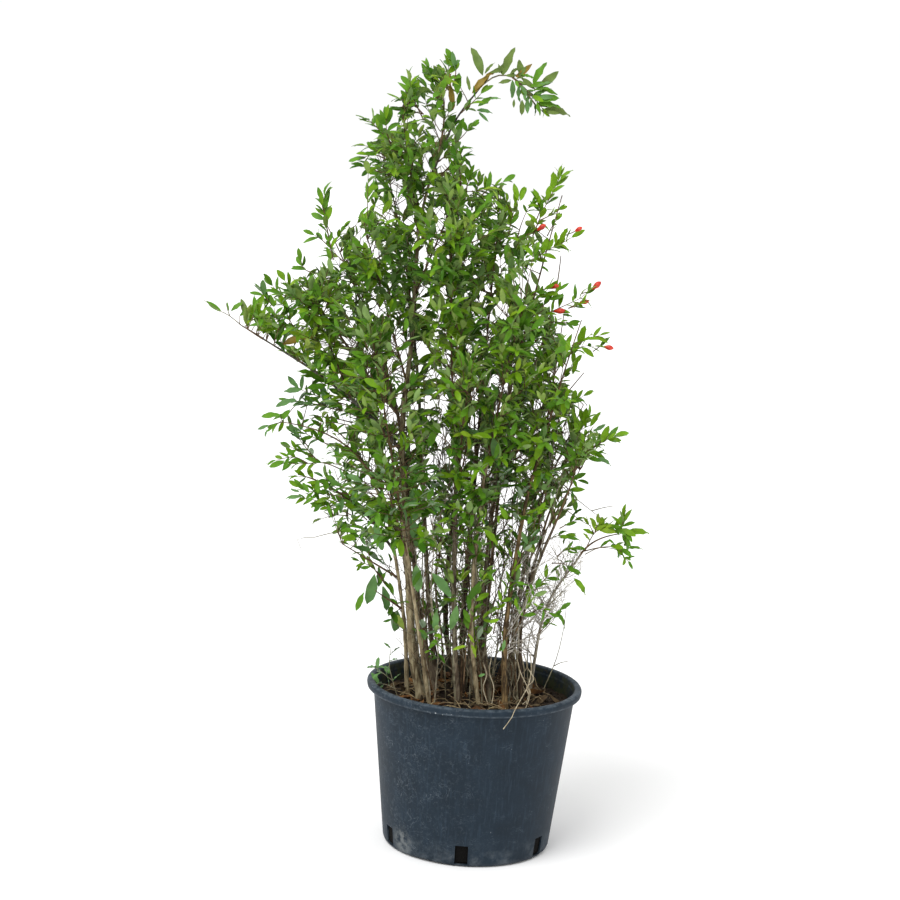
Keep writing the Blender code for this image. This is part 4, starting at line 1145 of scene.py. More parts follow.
def closes_sky(spot):
    """True where a leaf at a place would close one of the openings."""
    x, z = seen_at(spot)
    for near, index, far in sky_tree.find_range(Vector((x, 0.0, z)), SKY_REACH):
        middle_x, middle_z, wide, tall = SKY[index]
        across, up = (x * 1000 - middle_x) / (wide + SKY_MARGIN), (z * 1000 - middle_z) / (tall + SKY_MARGIN)
        if math.hypot(across, up) < 1:
            return True
    return False


STEM_SHOWS = (0.42, 0.98)      # heights between which the main stems show through the leaves
STEM_MARGIN = 0.009
STEM_HIDDEN = 0.25             # share of the leaves in front of them that grow all the same
shown_stems = []
for name in ("stem_main", "stem_left_spire", "bough_left_long"):
    path, radii = limbs[name]
    shown_stems += [(*seen_at(spot), spot.y) for spot in path if STEM_SHOWS[0] < spot.z < STEM_SHOWS[1]]
shown_tree = tree_of([Vector((x, 0.0, z)) for x, z, y in shown_stems])


def hides_stem(dice, spot):
    """True for most places that stand in front of a main stem."""
    x, z = seen_at(spot)
    near, index, far = shown_tree.find(Vector((x, 0.0, z)))
    return far < STEM_MARGIN and spot.y < shown_stems[index][2] and dice.random() > STEM_HIDDEN


print("outline points", len(OUTLINE), "leader tips inside",
      sum(in_outline(path[-1]) for path in leaders.values()), "of", len(leaders))

# %% [markdown]
# ## The leaf
# A pomegranate leaf is narrow, 2 to 5 cm long and about a third as wide. It is widest near its middle,
# tapers to a short stalk and to its tip, folds a little along its midrib and curls down at its end. It is
# modelled as a closed lens: a top and an underside that share their margins. Variants differ in width,
# curl, fold and twist, so that no two neighbours look alike.

# %% Model the leaf variants
LEAF_STATIONS = (0.09, 0.30, 0.54, 0.77, 0.93)
LEAF_THICK = 0.012           # share of the length, at the midrib
LEAF_SWAY = 0.12             # how far a twisted leaf also bends sideways
# width, curl down, fold, twist, then how narrow the base and how blunt the tip is
LEAF_VARIANTS = [
    (0.36, 0.12, 0.26, 0.3, 0.95, 0.8), (0.33, 0.3, 0.38, -0.4, 0.85, 0.92),
    (0.38, 0.05, 0.2, 0.2, 1.0, 0.76), (0.3, 0.42, 0.48, 0.5, 0.8, 1.0),
    (0.36, 0.2, 0.25, -0.3, 0.95, 0.84), (0.34, -0.12, 0.32, 0.1, 0.9, 0.88),
    (0.39, 0.16, 0.15, -0.6, 1.05, 0.78), (0.28, 0.55, 0.52, 0.4, 0.78, 1.05),
    (0.35, 0.26, 0.34, 0.6, 0.92, 0.86), (0.32, -0.05, 0.42, -0.2, 0.85, 0.95),
    (0.37, 0.38, 0.22, 0.1, 1.0, 0.8), (0.28, 0.1, 0.55, 0.0, 0.78, 1.02),
]
LARGE_STATIONS = (0.05, 0.14, 0.26, 0.39, 0.52, 0.65, 0.77, 0.87, 0.95)
# as above, for the large old leaves
LARGE_VARIANTS = [
    (0.29, 0.16, 0.34, 0.6, 0.95, 1.0), (0.25, 0.3, 0.45, -0.8, 0.85, 1.05),
    (0.34, 0.12, 0.25, 0.5, 1.0, 0.92), (0.21, 0.2, 0.5, 0.9, 0.8, 1.05),
    (0.31, -0.1, 0.3, -0.6, 0.95, 0.95), (0.24, 0.45, 0.5, 0.7, 0.8, 1.05),
]
LARGE_WAVE = 0.040           # rise and fall of the margin, as a share of the length


def leaf_form(stations, wave, width, curl, fold, twist, base, blunt):
    """A closed leaf of unit length along +Y, its upper face towards +Z."""
    widest = base / (base + blunt)
    fullest = widest ** base * (1 - widest) ** blunt

    def spine(t):
        return np.array((LEAF_SWAY * twist * t * t, t * (1 - 0.25 * abs(curl) * t * t), -curl * t * t))

    points = [spine(0.0)]
    for t in stations:
        half = width / 2 * t ** base * (1 - t) ** blunt / fullest
        roll = twist * (t - 0.3)
        side = np.array((math.cos(roll), 0.0, math.sin(roll)))
        rise = np.array((-math.sin(roll), 0.0, math.cos(roll)))
        edge = rise * half * math.tan(fold) * 0.8
        ripple = rise * wave * math.sin(t * 17 + width * 40)
        centre = spine(t)
        points += [centre - side * half + edge + ripple, centre, centre + side * half + edge - ripple,
                   centre - rise * LEAF_THICK]
    points.append(spine(1.0))
    return np.array(points), leaf_faces(len(stations))


leaf_forms = [leaf_form(LEAF_STATIONS, 0.0, *values) for values in LEAF_VARIANTS]
large_forms = [leaf_form(LARGE_STATIONS, LARGE_WAVE, *values) for values in LARGE_VARIANTS]
print("leaf variants", len(leaf_forms), "faces each", len(leaf_forms[0][1]), "large", len(large_forms[0][1]))

# %% [markdown]
# ## Growing shoots
# All leaves are noted in lists by their tint and all twigs by their look, and only written as meshes at
# the end. A leafy shoot rises a little as it grows. Leaves stand on it in opposite pairs, each pair turned
# a quarter from the last, shorter towards the tip.

# %% Note leaves, twigs and whole shoots
LEAF_LONG = 0.034
PAIR_STEP = 0.0135
PAIR_TURN = math.radians(92)
SHOOT_RADII = (0.0010, 0.0005)
MISSING = 0.12
TIP_CLEAR = 0.9
LEAF_TESTS = (0.3, 0.55, 0.8, 1.0)
TINTS = ("young", "fresh", "mid", "deep", "cool", "bronze")
NEXT_TINTS = {"young": "fresh", "fresh": "mid", "mid": "fresh", "deep": "mid", "cool": "mid",
              "bronze": "mid", "olive": "olive"}
OTHER_TINT = 0.30            # share of the leaves on a shoot that have the next tint
CROWD_CELL = 0.010
CROWD_MOST = 2
leaves = {tint: [] for tint in TINTS}
large_leaves = {tint: [] for tint in TINTS + ("olive",)}
twigs = {look: [] for look in ("red", "grey", "dark", "pale")}
buds = []
leaf_middles = []
crowd = {}


def crowded(spot):
    """True where enough leaves share one small cell of space; otherwise the place is counted."""
    cell = tuple(int(value // CROWD_CELL) for value in spot)
    crowd[cell] = crowd.get(cell, 0) + 1
    return crowd[cell] > CROWD_MOST


def leaf_axes(heading, facing):
    """Across, along and up of a leaf that points one way and faces another."""
    across = heading.cross(facing)
    if across.length < 0.1:
        across = heading.cross(Vector((1.0, 0.2, 0.0)))
    across.normalize()
    return across, heading, across.cross(heading)


def note_leaf(dice, tint, root, heading, facing, long):
    """Note one leaf, unless it would pass through a limb, crowd others or leave the outline."""
    heading = heading.normalized()
    middle = root + heading * long * 0.5
    if touches_limb(middle) or touches_limb(root + heading * long * 0.85):
        return
    if not in_outline(root + heading * long * TIP_CLEAR) or hides_stem(dice, middle) or crowded(middle):
        return
    if any(closes_sky(root + heading * long * part) for part in LEAF_TESTS):
        return
    if dice.random() < OTHER_TINT:
        tint = NEXT_TINTS[tint]
    leaves[tint].append((dice.randrange(len(leaf_forms)), root, *leaf_axes(heading, facing), long))
    leaf_middles.append(middle)


def note_twig(look, path, thick, thin):
    """Note one tapering twig."""
    twigs[look].append((path, np.linspace(thick, thin, len(path)).tolist()))


def jitter(dice, size):
    """A small random vector."""
    return Vector([dice.uniform(-size, size) for _ in range(3)])


def leafy_shoot(dice, root, heading, long, tint, look="red", leaf=LEAF_LONG, rise=0.16, bare=0.10,
                pair=PAIR_STEP, missing=MISSING, droop=0.0):
    """A twig with opposite leaves and two more at its tip."""
    while not in_outline(root + heading * long + UP * long * rise):
        long *= 0.8
        if long < 0.008:
            return
    path = [root + heading * long * t + UP * long * rise * t * t + jitter(dice, 0.0014) * (t > 0)
            for t in (0.0, 0.3, 0.65, 1.0)]
    before = len(leaf_middles)
    count = max(2, round(long * (1 - bare) / pair))
    flip = dice.uniform(0, 2 * math.pi)
    for k in range(count):
        part = bare + (1 - bare) * (k + 0.6) / count
        spot, way = along_path(path, min(part, 0.99))
        size = leaf * (1.10 - 0.30 * part ** 2)
        for side in (0, 1):
            if dice.random() < missing:
                continue
            lean = math.radians(dice.uniform(36, 70) - 16 * part)
            away = turned_away(way, flip + k * PAIR_TURN + side * math.pi + dice.uniform(-0.4, 0.4), lean)
            away -= UP * droop * dice.uniform(0.4, 1.4)
            note_leaf(dice, tint, spot, away, way * 0.5 + UP * 0.8 + jitter(dice, 0.5),
                      size * dice.uniform(0.68, 1.18))
    tip, way = along_path(path, 1.0)
    for k in range(2):
        away = turned_away(way, flip + k * 2.4, math.radians(dice.uniform(6, 26)))
        note_leaf(dice, tint, tip, away, UP + jitter(dice, 0.6), leaf * dice.uniform(0.6, 1.0))
    if len(leaf_middles) > before:
        note_twig(look, path, *SHOOT_RADII)


# %% [markdown]
# ## Growing a mass
# Each mass repeats the rule of the solid model: side shoots leave the leading shoot by the golden turn,
# lean off it by 34 to 58 degrees and get shorter towards its tip. They are simply set closer, and longer
# ones carry short spurs. A shoot whose tip would leave the mass's own share of the crown, or the
# outline, is shortened. The low outer masses hang a little and are thinner than the rest.

# %% Grow every mass
SHOOT_STEP = 0.0195
SHOOT_LEANS = (34, 58)
SHOOT_LIFT = 0.35
SHOOT_DROOP = -1.1
SHOOT_SIZES = (0.85, 1.25)
SHOOT_SHORTEN = 0.82
SHOOT_LEAST = 0.40
SPUR_FROM = 0.040
SPUR_PARTS = (0.34, 0.68)
SPUR_LONG = (0.014, 0.030)
LEADER_RADII = (0.0023, 0.0009)
# shares in 100 of the tints in each mass: young, fresh, mid, deep, cool, bronze
PALETTES = {
    "foliage_crown_top": (3, 15, 60, 15, 0, 7), "foliage_arch": (0, 15, 55, 5, 20, 5),
    "foliage_top_left": (5, 35, 50, 10, 0, 0), "foliage_right_spire": (25, 55, 20, 0, 0, 0),
    "foliage_right_upper": (20, 55, 25, 0, 0, 0), "foliage_right_middle": (15, 55, 30, 0, 0, 0),
    "foliage_right_arm": (15, 50, 30, 5, 0, 0), "foliage_right_top": (12, 48, 35, 5, 0, 0),
    "foliage_front_top": (12, 53, 30, 5, 0, 0), "foliage_front_right": (8, 50, 37, 5, 0, 0),
    "foliage_left_hanging": (0, 5, 20, 15, 60, 0), "foliage_left_bottom": (5, 30, 30, 5, 30, 0),
    "foliage_left_low": (0, 30, 40, 5, 25, 0), "foliage_left_out": (0, 30, 40, 10, 20, 0),
    "foliage_left_far": (10, 45, 35, 0, 5, 5), "foliage_left_upper": (8, 45, 40, 5, 0, 2),
    "foliage_left_spire": (5, 45, 45, 5, 0, 0), "foliage_front_low": (0, 20, 30, 20, 30, 0),
    "foliage_far_right": (35, 45, 20, 0, 0, 0), "foliage_right_lobe": (3, 37, 50, 10, 0, 0),
    "foliage_centre": (0, 15, 40, 45, 0, 0),
}
USUAL_PALETTE = (4, 30, 48, 16, 2, 0)
# spacing of shoots, share of missing leaves, leaf length and droop, usual and in the thinner masses
USUAL_GROWTH = (1.0, MISSING, LEAF_LONG, 0.0)
THIN_MASSES = {
    "foliage_left_out": (1.5, 0.25, 0.030, 0.35), "foliage_left_low": (1.5, 0.25, 0.030, 0.35),
    "foliage_left_bottom": (1.4, 0.25, 0.029, 0.2), "foliage_left_far": (1.4, 0.20, 0.037, 0.1),
    "foliage_far_right": (1.7, 0.30, 0.030, 0.2), "foliage_left_spire": (1.3, 0.15, 0.034, 0.0),
    "foliage_right_spire": (1.5, 0.12, 0.031, 0.0), "foliage_left_hanging": (1.2, 0.2, 0.040, 0.3),
    "foliage_back_low": (1.3, 0.2, 0.029, 0.2), "foliage_right_low": (1.6, 0.25, 0.030, 0.2),
    "foliage_back_right_low": (1.5, 0.25, 0.029, 0.2), "foliage_front_low": (1.3, 0.2, 0.034, 0.3),
}


def pick_tint(dice, name, part):
    """A tint by the mass's palette, darker near the leading shoot's foot."""
    shares = list(PALETTES.get(name, USUAL_PALETTE))
    shares[3] += 25 * (1 - part)
    return dice.choices(TINTS, weights=shares)[0]


def grow_mass(number, name):
    """Twigs and leaves of one mass."""
    reach = MASSES[name][3] / 1000
    dice = random.Random(number)
    path = leaders[name]
    spread, missing, leaf, droop = THIN_MASSES.get(name, USUAL_GROWTH)
    note_twig("red", path, *LEADER_RADII)
    count = max(4, round(path_length(path) / (SHOOT_STEP * spread)))
    for k in range(count):
        part = 0.04 + 0.92 * k / (count - 1)
        root, way = along_path(path, part)
        heading = turned_away(way, k * GOLDEN_TURN, math.radians(dice.uniform(*SHOOT_LEANS)))
        lift = SHOOT_DROOP if name == HANGING else SHOOT_LIFT
        heading = (heading + UP * lift).normalized()
        long = reach * (1.10 - 0.45 * part) * dice.uniform(*SHOOT_SIZES)
        while long > reach * SHOOT_LEAST:
            end = root + heading * (long + leaf * 0.3)
            if in_own_space(name, end) and in_outline(end):
                break
            long *= SHOOT_SHORTEN
        if long <= reach * SHOOT_LEAST:
            continue
        tint = pick_tint(dice, name, part)
        leafy_shoot(dice, root, heading, long, tint, leaf=leaf, missing=missing, droop=droop)
        if long < SPUR_FROM:
            continue
        for share in SPUR_PARTS:
            spot = root + heading * long * share + UP * long * 0.16 * share ** 2
            spur = turned_away(heading, dice.uniform(0, 6.28), math.radians(dice.uniform(40, 65)))
            leafy_shoot(dice, spot, (spur + UP * 0.2).normalized(), dice.uniform(*SPUR_LONG), tint,
                        leaf=leaf * 0.88, missing=missing, droop=droop, pair=0.010)
    end, way = along_path(path, 1.0)
    tint = pick_tint(dice, name, 1.0)
    leafy_shoot(dice, end, way, reach * 0.4, tint, leaf=leaf, missing=missing, droop=droop)


for number, name in enumerate(MASSES):
    if name not in (BARE, "foliage_arch"):
        grow_mass(number, name)
print("leaves after the masses", sum(map(len, leaves.values())))

# %% [markdown]
# ## Spurs on the old wood
# Boughs and the upper parts of the stems carry short spurs with a few leaves at their old joints, so no
# limb runs bare through the crown.

# %% Grow spurs
SPUR_STEP = (0.028, 0.052)
BARE_BELOW = 0.56


def limb_spurs(dice, name, tint_weights):
    """Short leafy spurs along the upper part of a limb."""
    path, radii = limbs[name]
    long = path_length(path)
    reach = 0.02
    while reach < long:
        spot, way = along_path(path, reach / long)
        reach += dice.uniform(*SPUR_STEP)
        if spot.z < BARE_BELOW and name in STEMS:
            continue
        heading = turned_away(way, dice.uniform(0, 6.28), math.radians(dice.uniform(40, 75)))
        tint = dice.choices(TINTS, weights=tint_weights)[0]
        leafy_shoot(dice, spot, (heading + UP * 0.3).normalized(), dice.uniform(0.018, 0.050), tint,
                    leaf=dice.uniform(0.026, 0.036))


spur_dice = random.Random(301)
for name in limbs:
    limb_spurs(spur_dice, name, (3, 25, 45, 25, 5, 0))
print("leaves after the spurs", sum(map(len, leaves.values())))

# %% [markdown]
# ## Filling the light
# A real shoot grows where it finds light. Places in the crown that are still empty are found by trying
# thousands at random: where no leaf is near but wood is within reach, one more shoot grows there from the
# nearest wood. It is done in rounds, so that shoots don't crowd, and more thinly low at both sides.

# %% Fill empty places with shoots
FILL_ROUNDS = 5
FILL_TRIES = 3600
FILL_CLEAR = 0.0270
FILL_CLEAR_THIN = 0.033
FILL_REACH = 0.105
CROWN_LOW = 0.600
THIN_LEFT = -0.235
THIN_TOP = 0.760
THIN_RIGHT = 0.050
THIN_RIGHT_TOP = 0.650
FILL_BOX = (Vector((-0.47, -0.215, CROWN_LOW)), Vector((0.24, 0.265, 1.44)))


def start_of(spot, wood, far_best=0.06):
    """The wood that a shoot to a place would start from."""
    found = wood.find_n(spot - UP * 0.03, 24)
    rated = [(far + 2.5 * max(0.0, near.z - spot.z + 0.01) + 0.5 * abs(far - far_best), near.copy())
             for near, index, far in found]
    return min(rated, key=lambda pair: pair[0])[1]


def shoot_to(dice, spot, wood, tint, leaf, missing, droop):
    """A leafy shoot from the nearest wood to a place."""
    root = start_of(spot, wood)
    long = max(0.016, (spot - root).length - leaf * 0.6)
    heading = ((spot - root).normalized() - UP * 0.08).normalized()
    leafy_shoot(dice, root, heading, long, tint, leaf=leaf, rise=0.10, missing=missing, droop=droop)


def fill_crown(dice):
    """Grow shoots into empty places, and return how many."""
    grown = 0
    for _ in range(FILL_ROUNDS):
        filled = tree_of(leaf_middles)
        wood = tree_of(wood_spots)
        for _ in range(FILL_TRIES):
            spot = Vector([dice.uniform(a, b) for a, b in zip(*FILL_BOX)])
            thin_left = spot.x < THIN_LEFT and spot.z < THIN_TOP
            thin_right = spot.x > THIN_RIGHT and spot.z < THIN_RIGHT_TOP
            clear = FILL_CLEAR_THIN if thin_left or thin_right else FILL_CLEAR
            if filled.find(spot)[2] < clear * dice.uniform(0.9, 1.3):
                continue
            _, index, far = heart_tree.find(spot)
            name = hearts[index][0]
            if far > FILL_REACH or name in (BARE, "foliage_arch"):
                continue
            if closes_sky(spot) or not in_outline(spot):
                continue
            if wood.find(spot)[2] > FILL_REACH:
                continue
            spread, missing, leaf, droop = THIN_MASSES.get(name, USUAL_GROWTH)
            shoot_to(dice, spot, wood, pick_tint(dice, name, 0.6), leaf, missing, droop)
            grown += 1
            if grown % 60 == 0:
                filled = tree_of(leaf_middles)
    return grown


print("filling shoots", fill_crown(random.Random(808)), "leaves", sum(map(len, leaves.values())))

# %% [markdown]
# ## Shoots that stand out of the crown
# What makes the outline lively are single shoots that stand out of it, one beside the other, and sprays
# low at the left and right that are open enough to count their leaves. Their paths are given in
# millimetres where the camera sees them on the plane through the pot's middle, and then set at a depth
# before or behind it. Leaves grow along them in the usual pairs.

# %% Grow the stated shoots
# a row for each: depth, tint, leaf length, share left bare, then x and z of each point
STATED_SHOOTS = """
-10 mid 30 0.3  -150 1335  -170 1372  -178 1402
-14 mid 30 0.4  -152 1346  -172 1364  -192 1369
-5 deep 32 0.5  -150 1345  -175 1349  -186 1350
-8 mid 31 0.3  -206 1285  -215 1312  -217 1332
-8 mid 25 0.4  -205 1290  -228 1312  -242 1325  -252 1330
-8 mid 26 0.4  -215 1262  -235 1268  -256 1262
-4 mid 26 0.4  -218 1268  -240 1280  -252 1283
-8 deep 26 0.3  -215 1235  -238 1242  -252 1246
4 mid 28 0.3  -135 1390  -140 1412  -145 1424
2 mid 28 0.3  -118 1395  -112 1420  -110 1430
0 cool 26 0.5  -98 1405  -97 1425  -103 1440
-10 deep 27 0.5  -120 1262  -97 1280  -82 1286
-10 mid 24 0.8  -97 1290  -78 1310  -66 1326
-10 deep 26 0.5  -112 1240  -92 1262  -76 1273
-12 mid 26 0.2  -95 1215  -90 1238  -86 1252
-12 mid 24 0.3  -66 1215  -64 1228  -60 1238
-12 fresh 26 0.3  -48 1205  -46 1222  -45 1230
-12 fresh 27 0.3  -40 1205  -26 1218  -12 1226  -2 1232
-10 fresh 26 0.25  14 1140  19 1170  25 1192  30 1204
-12 fresh 22 0.5  18 1180  8 1196  4 1202
-18 fresh 27 0.2  58 1138  68 1168  76 1190  88 1216  98 1242
-16 fresh 26 0.5  62 1165  68 1186  64 1200
-16 fresh 22 0.4  70 1168  88 1178  102 1188
-14 fresh 22 0.3  84 1140  92 1158  98 1168
-10 mid 24 0.75  30 1130  36 1158  46 1186  52 1194
-18 fresh 27 0.15  40 1085  66 1100  88 1116  110 1128  128 1140
-24 fresh 25 0.3  50 1020  68 1036  84 1044
-24 fresh 27 0.2  72 985  100 1004  126 1018  148 1030  160 1040
-24 fresh 20 0.4  130 1012  146 1018  154 1024
-26 mid 24 0.4  88 984  112 986  132 986
-26 fresh 27 0.2  98 925  122 938  140 944
-26 fresh 26 0.4  110 912  136 926  160 944  182 946
-16 fresh 25 0.2  118 868  130 886  142 900  146 910
-12 fresh 26 0.2  130 828  150 842  168 854
-10 fresh 30 0.2  156 772  170 796  178 812
-10 fresh 27 0.2  152 765  154 788  154 804
-12 fresh 30 0.2  160 742  190 758  212 774  228 782
-12 mid 26 0.3  155 728  176 740  196 748
-14 mid 25 0.4  130 696  150 700  168 698
-20 olive 25 0.3  122 606  130 640  134 664  138 684
-20 olive 28 0.5  120 610  136 634  150 646
-16 mid 28 0.5  140 690  156 676  162 664
-16 mid 20 0.4  140 606  156 616  166 622
-22 mid 25 0.4  112 575  132 590  152 594
-22 mid 24 0.4  138 552  152 566  166 570
-22 mid 24 0.5  130 540  150 540  166 532
-20 young 28 0.65  190 568  198 588  206 602  222 612
-20 fresh 31 0.1  222 612  240 616  254 612
-20 young 24 0.2  204 600  198 610  194 616
-20 young 24 0.2  206 602  208 614  209 620
-20 fresh 26 0.2  254 612  256 626  256 634
-20 mid 26 0.2  254 612  262 600  264 588
-20 fresh 26 0.72  188 566  214 574  240 578  254 574
-20 mid 18 0.3  254 574  262 560  270 552
20 mid 26 0.2  -300 1075  -308 1108  -316 1140  -325 1172
20 mid 28 0.2  -310 1116  -318 1148  -322 1176  -321 1190
20 mid 28 0.5  -308 1098  -322 1110  -336 1118
20 mid 20 0.5  -306 1100  -292 1118  -284 1134
-6 mid 28 0.5  -330 1048  -352 1056  -358 1070
-8 mid 30 0.4  -350 1008  -376 1018  -386 1032
-12 mid 30 0.4  -370 1002  -396 1010  -408 1022
-16 cool 27 0.45  -405 985  -418 998  -428 1010
-30 cool 26 0.25  -262 812  -305 822  -345 834  -356 842
-34 cool 24 0.3  -270 800  -312 808  -340 812  -366 814
-40 mid 24 0.2  -232 808  -262 820  -306 830
-44 cool 24 0.2  -206 779  -247 793  -289 807  -338 812
-40 mid 24 0.3  -205 758  -245 772  -285 778  -316 774
-4 mid 22 0.1  4 1418  26 1402  46 1384  60 1368
-4 cool 20 0.2  10 1414  30 1394  50 1372
-34 mid 27 0.7  -330 808  -356 806  -374 782  -386 772
-30 mid 22 0.3  -250 780  -285 786  -315 788  -330 782
-30 mid 25 0.3  -260 748  -290 768  -318 764
-30 cool 25 0.2  -312 706  -332 726  -346 742  -354 752
-30 mid 23 0.2  -320 712  -346 722  -362 728
-30 cool 23 0.3  -330 730  -344 748  -345 760
-28 mid 28 0.4  -262 690  -300 702  -340 698  -372 698
-28 mid 26 0.35  -240 645  -280 652  -318 672  -346 674
-26 fresh 25 0.35  -262 640  -298 646  -326 648  -340 654
-26 mid 24 0.4  -255 622  -290 624  -315 632  -345 636
-26 olive 23 0.4  -250 606  -275 606  -298 598
-22 fresh 20 0.4  -178 490  -202 512  -226 522
-22 fresh 22 0.4  -176 482  -205 518  -228 545  -246 552
-24 mid 22 0.5  -210 575  -235 590  -262 580
-6 mid 27 0.2  -84 1350  -66 1368  -50 1386
-14 fresh 26 0.15  30 1085  40 1108  47 1130  52 1150
-14 mid 26 0.2  24 1106  34 1126  50 1142
-50 fresh 28 0.2  -352 930  -372 958  -384 985
-50 mid 26 0.2  -372 940  -398 962  -404 984
-22 fresh 26 0.15  64 1018  82 1034  92 1046
-22 mid 24 0.2  80 1010  100 1030  112 1044
-30 mid 24 0.3  96 480  112 500  128 520
-30 mid 22 0.4  110 400  126 420  140 436
-28 mid 24 0.2  -330 700  -356 710  -388 702
-28 cool 24 0.2  -250 655  -280 664  -300 676
-26 mid 25 0.2  -245 608  -272 618  -298 622
-26 mid 24 0.2  -255 626  -276 634  -296 642
-26 cool 25 0.2  -215 600  -236 618  -250 638
-26 fresh 24 0.2  150 948  172 960  190 966
-30 cool 24 0.2  -290 735  -320 748  -345 758
-60 young 26 0.5  -10 330  -6 360  -2 385
-90 mid 24 0.5  -20 300  -18 380  -10 440  2 500
-70 fresh 24 0.4  30 400  38 450  50 490  62 520
-70 mid 24 0.4  70 400  84 440  98 470  104 490
-50 mid 22 0.4  96 440  112 452  130 446
-80 cool 25 0.4  60 520  78 560  90 585
"""
STATED_PAIR = 0.0134
STATED_LEAN = (28, 62)
STATED_MISSING = 0.10
STATED_RADII = (0.0013, 0.0005)
DEPTH_PLAY = 4               # how far the points wander in depth
TO_CAMERA = Vector(CAMERA_PLACE)


def place_at(x, z, depth):
    """The place at a depth that the camera sees over (x, z) of the middle plane; all in millimetres."""
    x, z, depth = x / 1000, z / 1000, depth / 1000
    share = (EYE_FAR + depth) / EYE_FAR
    return Vector((x * share, depth, CAMERA_PLACE[2] + (z - CAMERA_PLACE[2]) * share))


def put_leaf(dice, tint, root, heading, facing, long):
    """A leaf of a stated shoot, which is kept whatever it touches."""
    if dice.random() < OTHER_TINT:
        tint = NEXT_TINTS[tint]
    found, forms = (large_leaves, large_forms) if tint == "olive" else (leaves, leaf_forms)
    found[tint].append((dice.randrange(len(forms)), root, *leaf_axes(heading, facing), long))


def stated_shoot(dice, depth, tint, leaf, bare, points):
    """Leaves in opposite pairs along a stated path."""
    places = [place_at(x, z, depth + dice.uniform(-DEPTH_PLAY, DEPTH_PLAY)) for x, z in points]
    path = smooth_path(places, 4 * len(places))
    note_twig("red", path, *STATED_RADII)
    count = max(2, round(path_length(path) * (1 - bare) / STATED_PAIR))
    flip = dice.uniform(-0.5, 0.5)
    for k in range(count):
        part = bare + (1 - bare) * k / count
        spot, way = along_path(path, part)
        for side in (0, 1):
            if dice.random() < STATED_MISSING:
                continue
            lean = math.radians(dice.uniform(*STATED_LEAN))
            turn = flip + k * PAIR_TURN * 0.6 + side * math.pi + dice.uniform(-0.4, 0.4)
            away = turned_away(way, turn, lean) + UP * 0.10
            put_leaf(dice, tint, spot, away.normalized(), TO_CAMERA * 0.2 + UP * 0.6 + jitter(dice, 0.8),
                     leaf * dice.uniform(0.80, 1.25))
    end, way = along_path(path, 1.0)
    for k in range(2):
        away = turned_away(way, flip + k * math.pi, math.radians(dice.uniform(5, 24)))
        put_leaf(dice, tint, end, away.normalized(), TO_CAMERA * 0.2 + UP * 0.6 + jitter(dice, 0.8),
                 leaf * dice.uniform(0.8, 1.1))


stated_dice = random.Random(55)
for row in STATED_SHOOTS.strip().splitlines():
    depth, tint, leaf, bare, *values = row.split()
    points = [(int(x), int(z)) for x, z in zip(values[::2], values[1::2])]
    stated_shoot(stated_dice, int(depth), tint, int(leaf) / 1000, float(bare), points)
note_twig("grey", leaders["foliage_arch"], 0.0016, 0.0008)
print("leaves with the stated shoots", sum(map(len, leaves.values())))

# %% [markdown]
# The largest and oldest leaves catch the eye one by one: those of the hooked top and of the long left
# arm, the ones hanging low before the stems, and long olive leaves in the crown. Each is stated by where
# its foot and tip are seen, and lies at a depth in front of the stems.

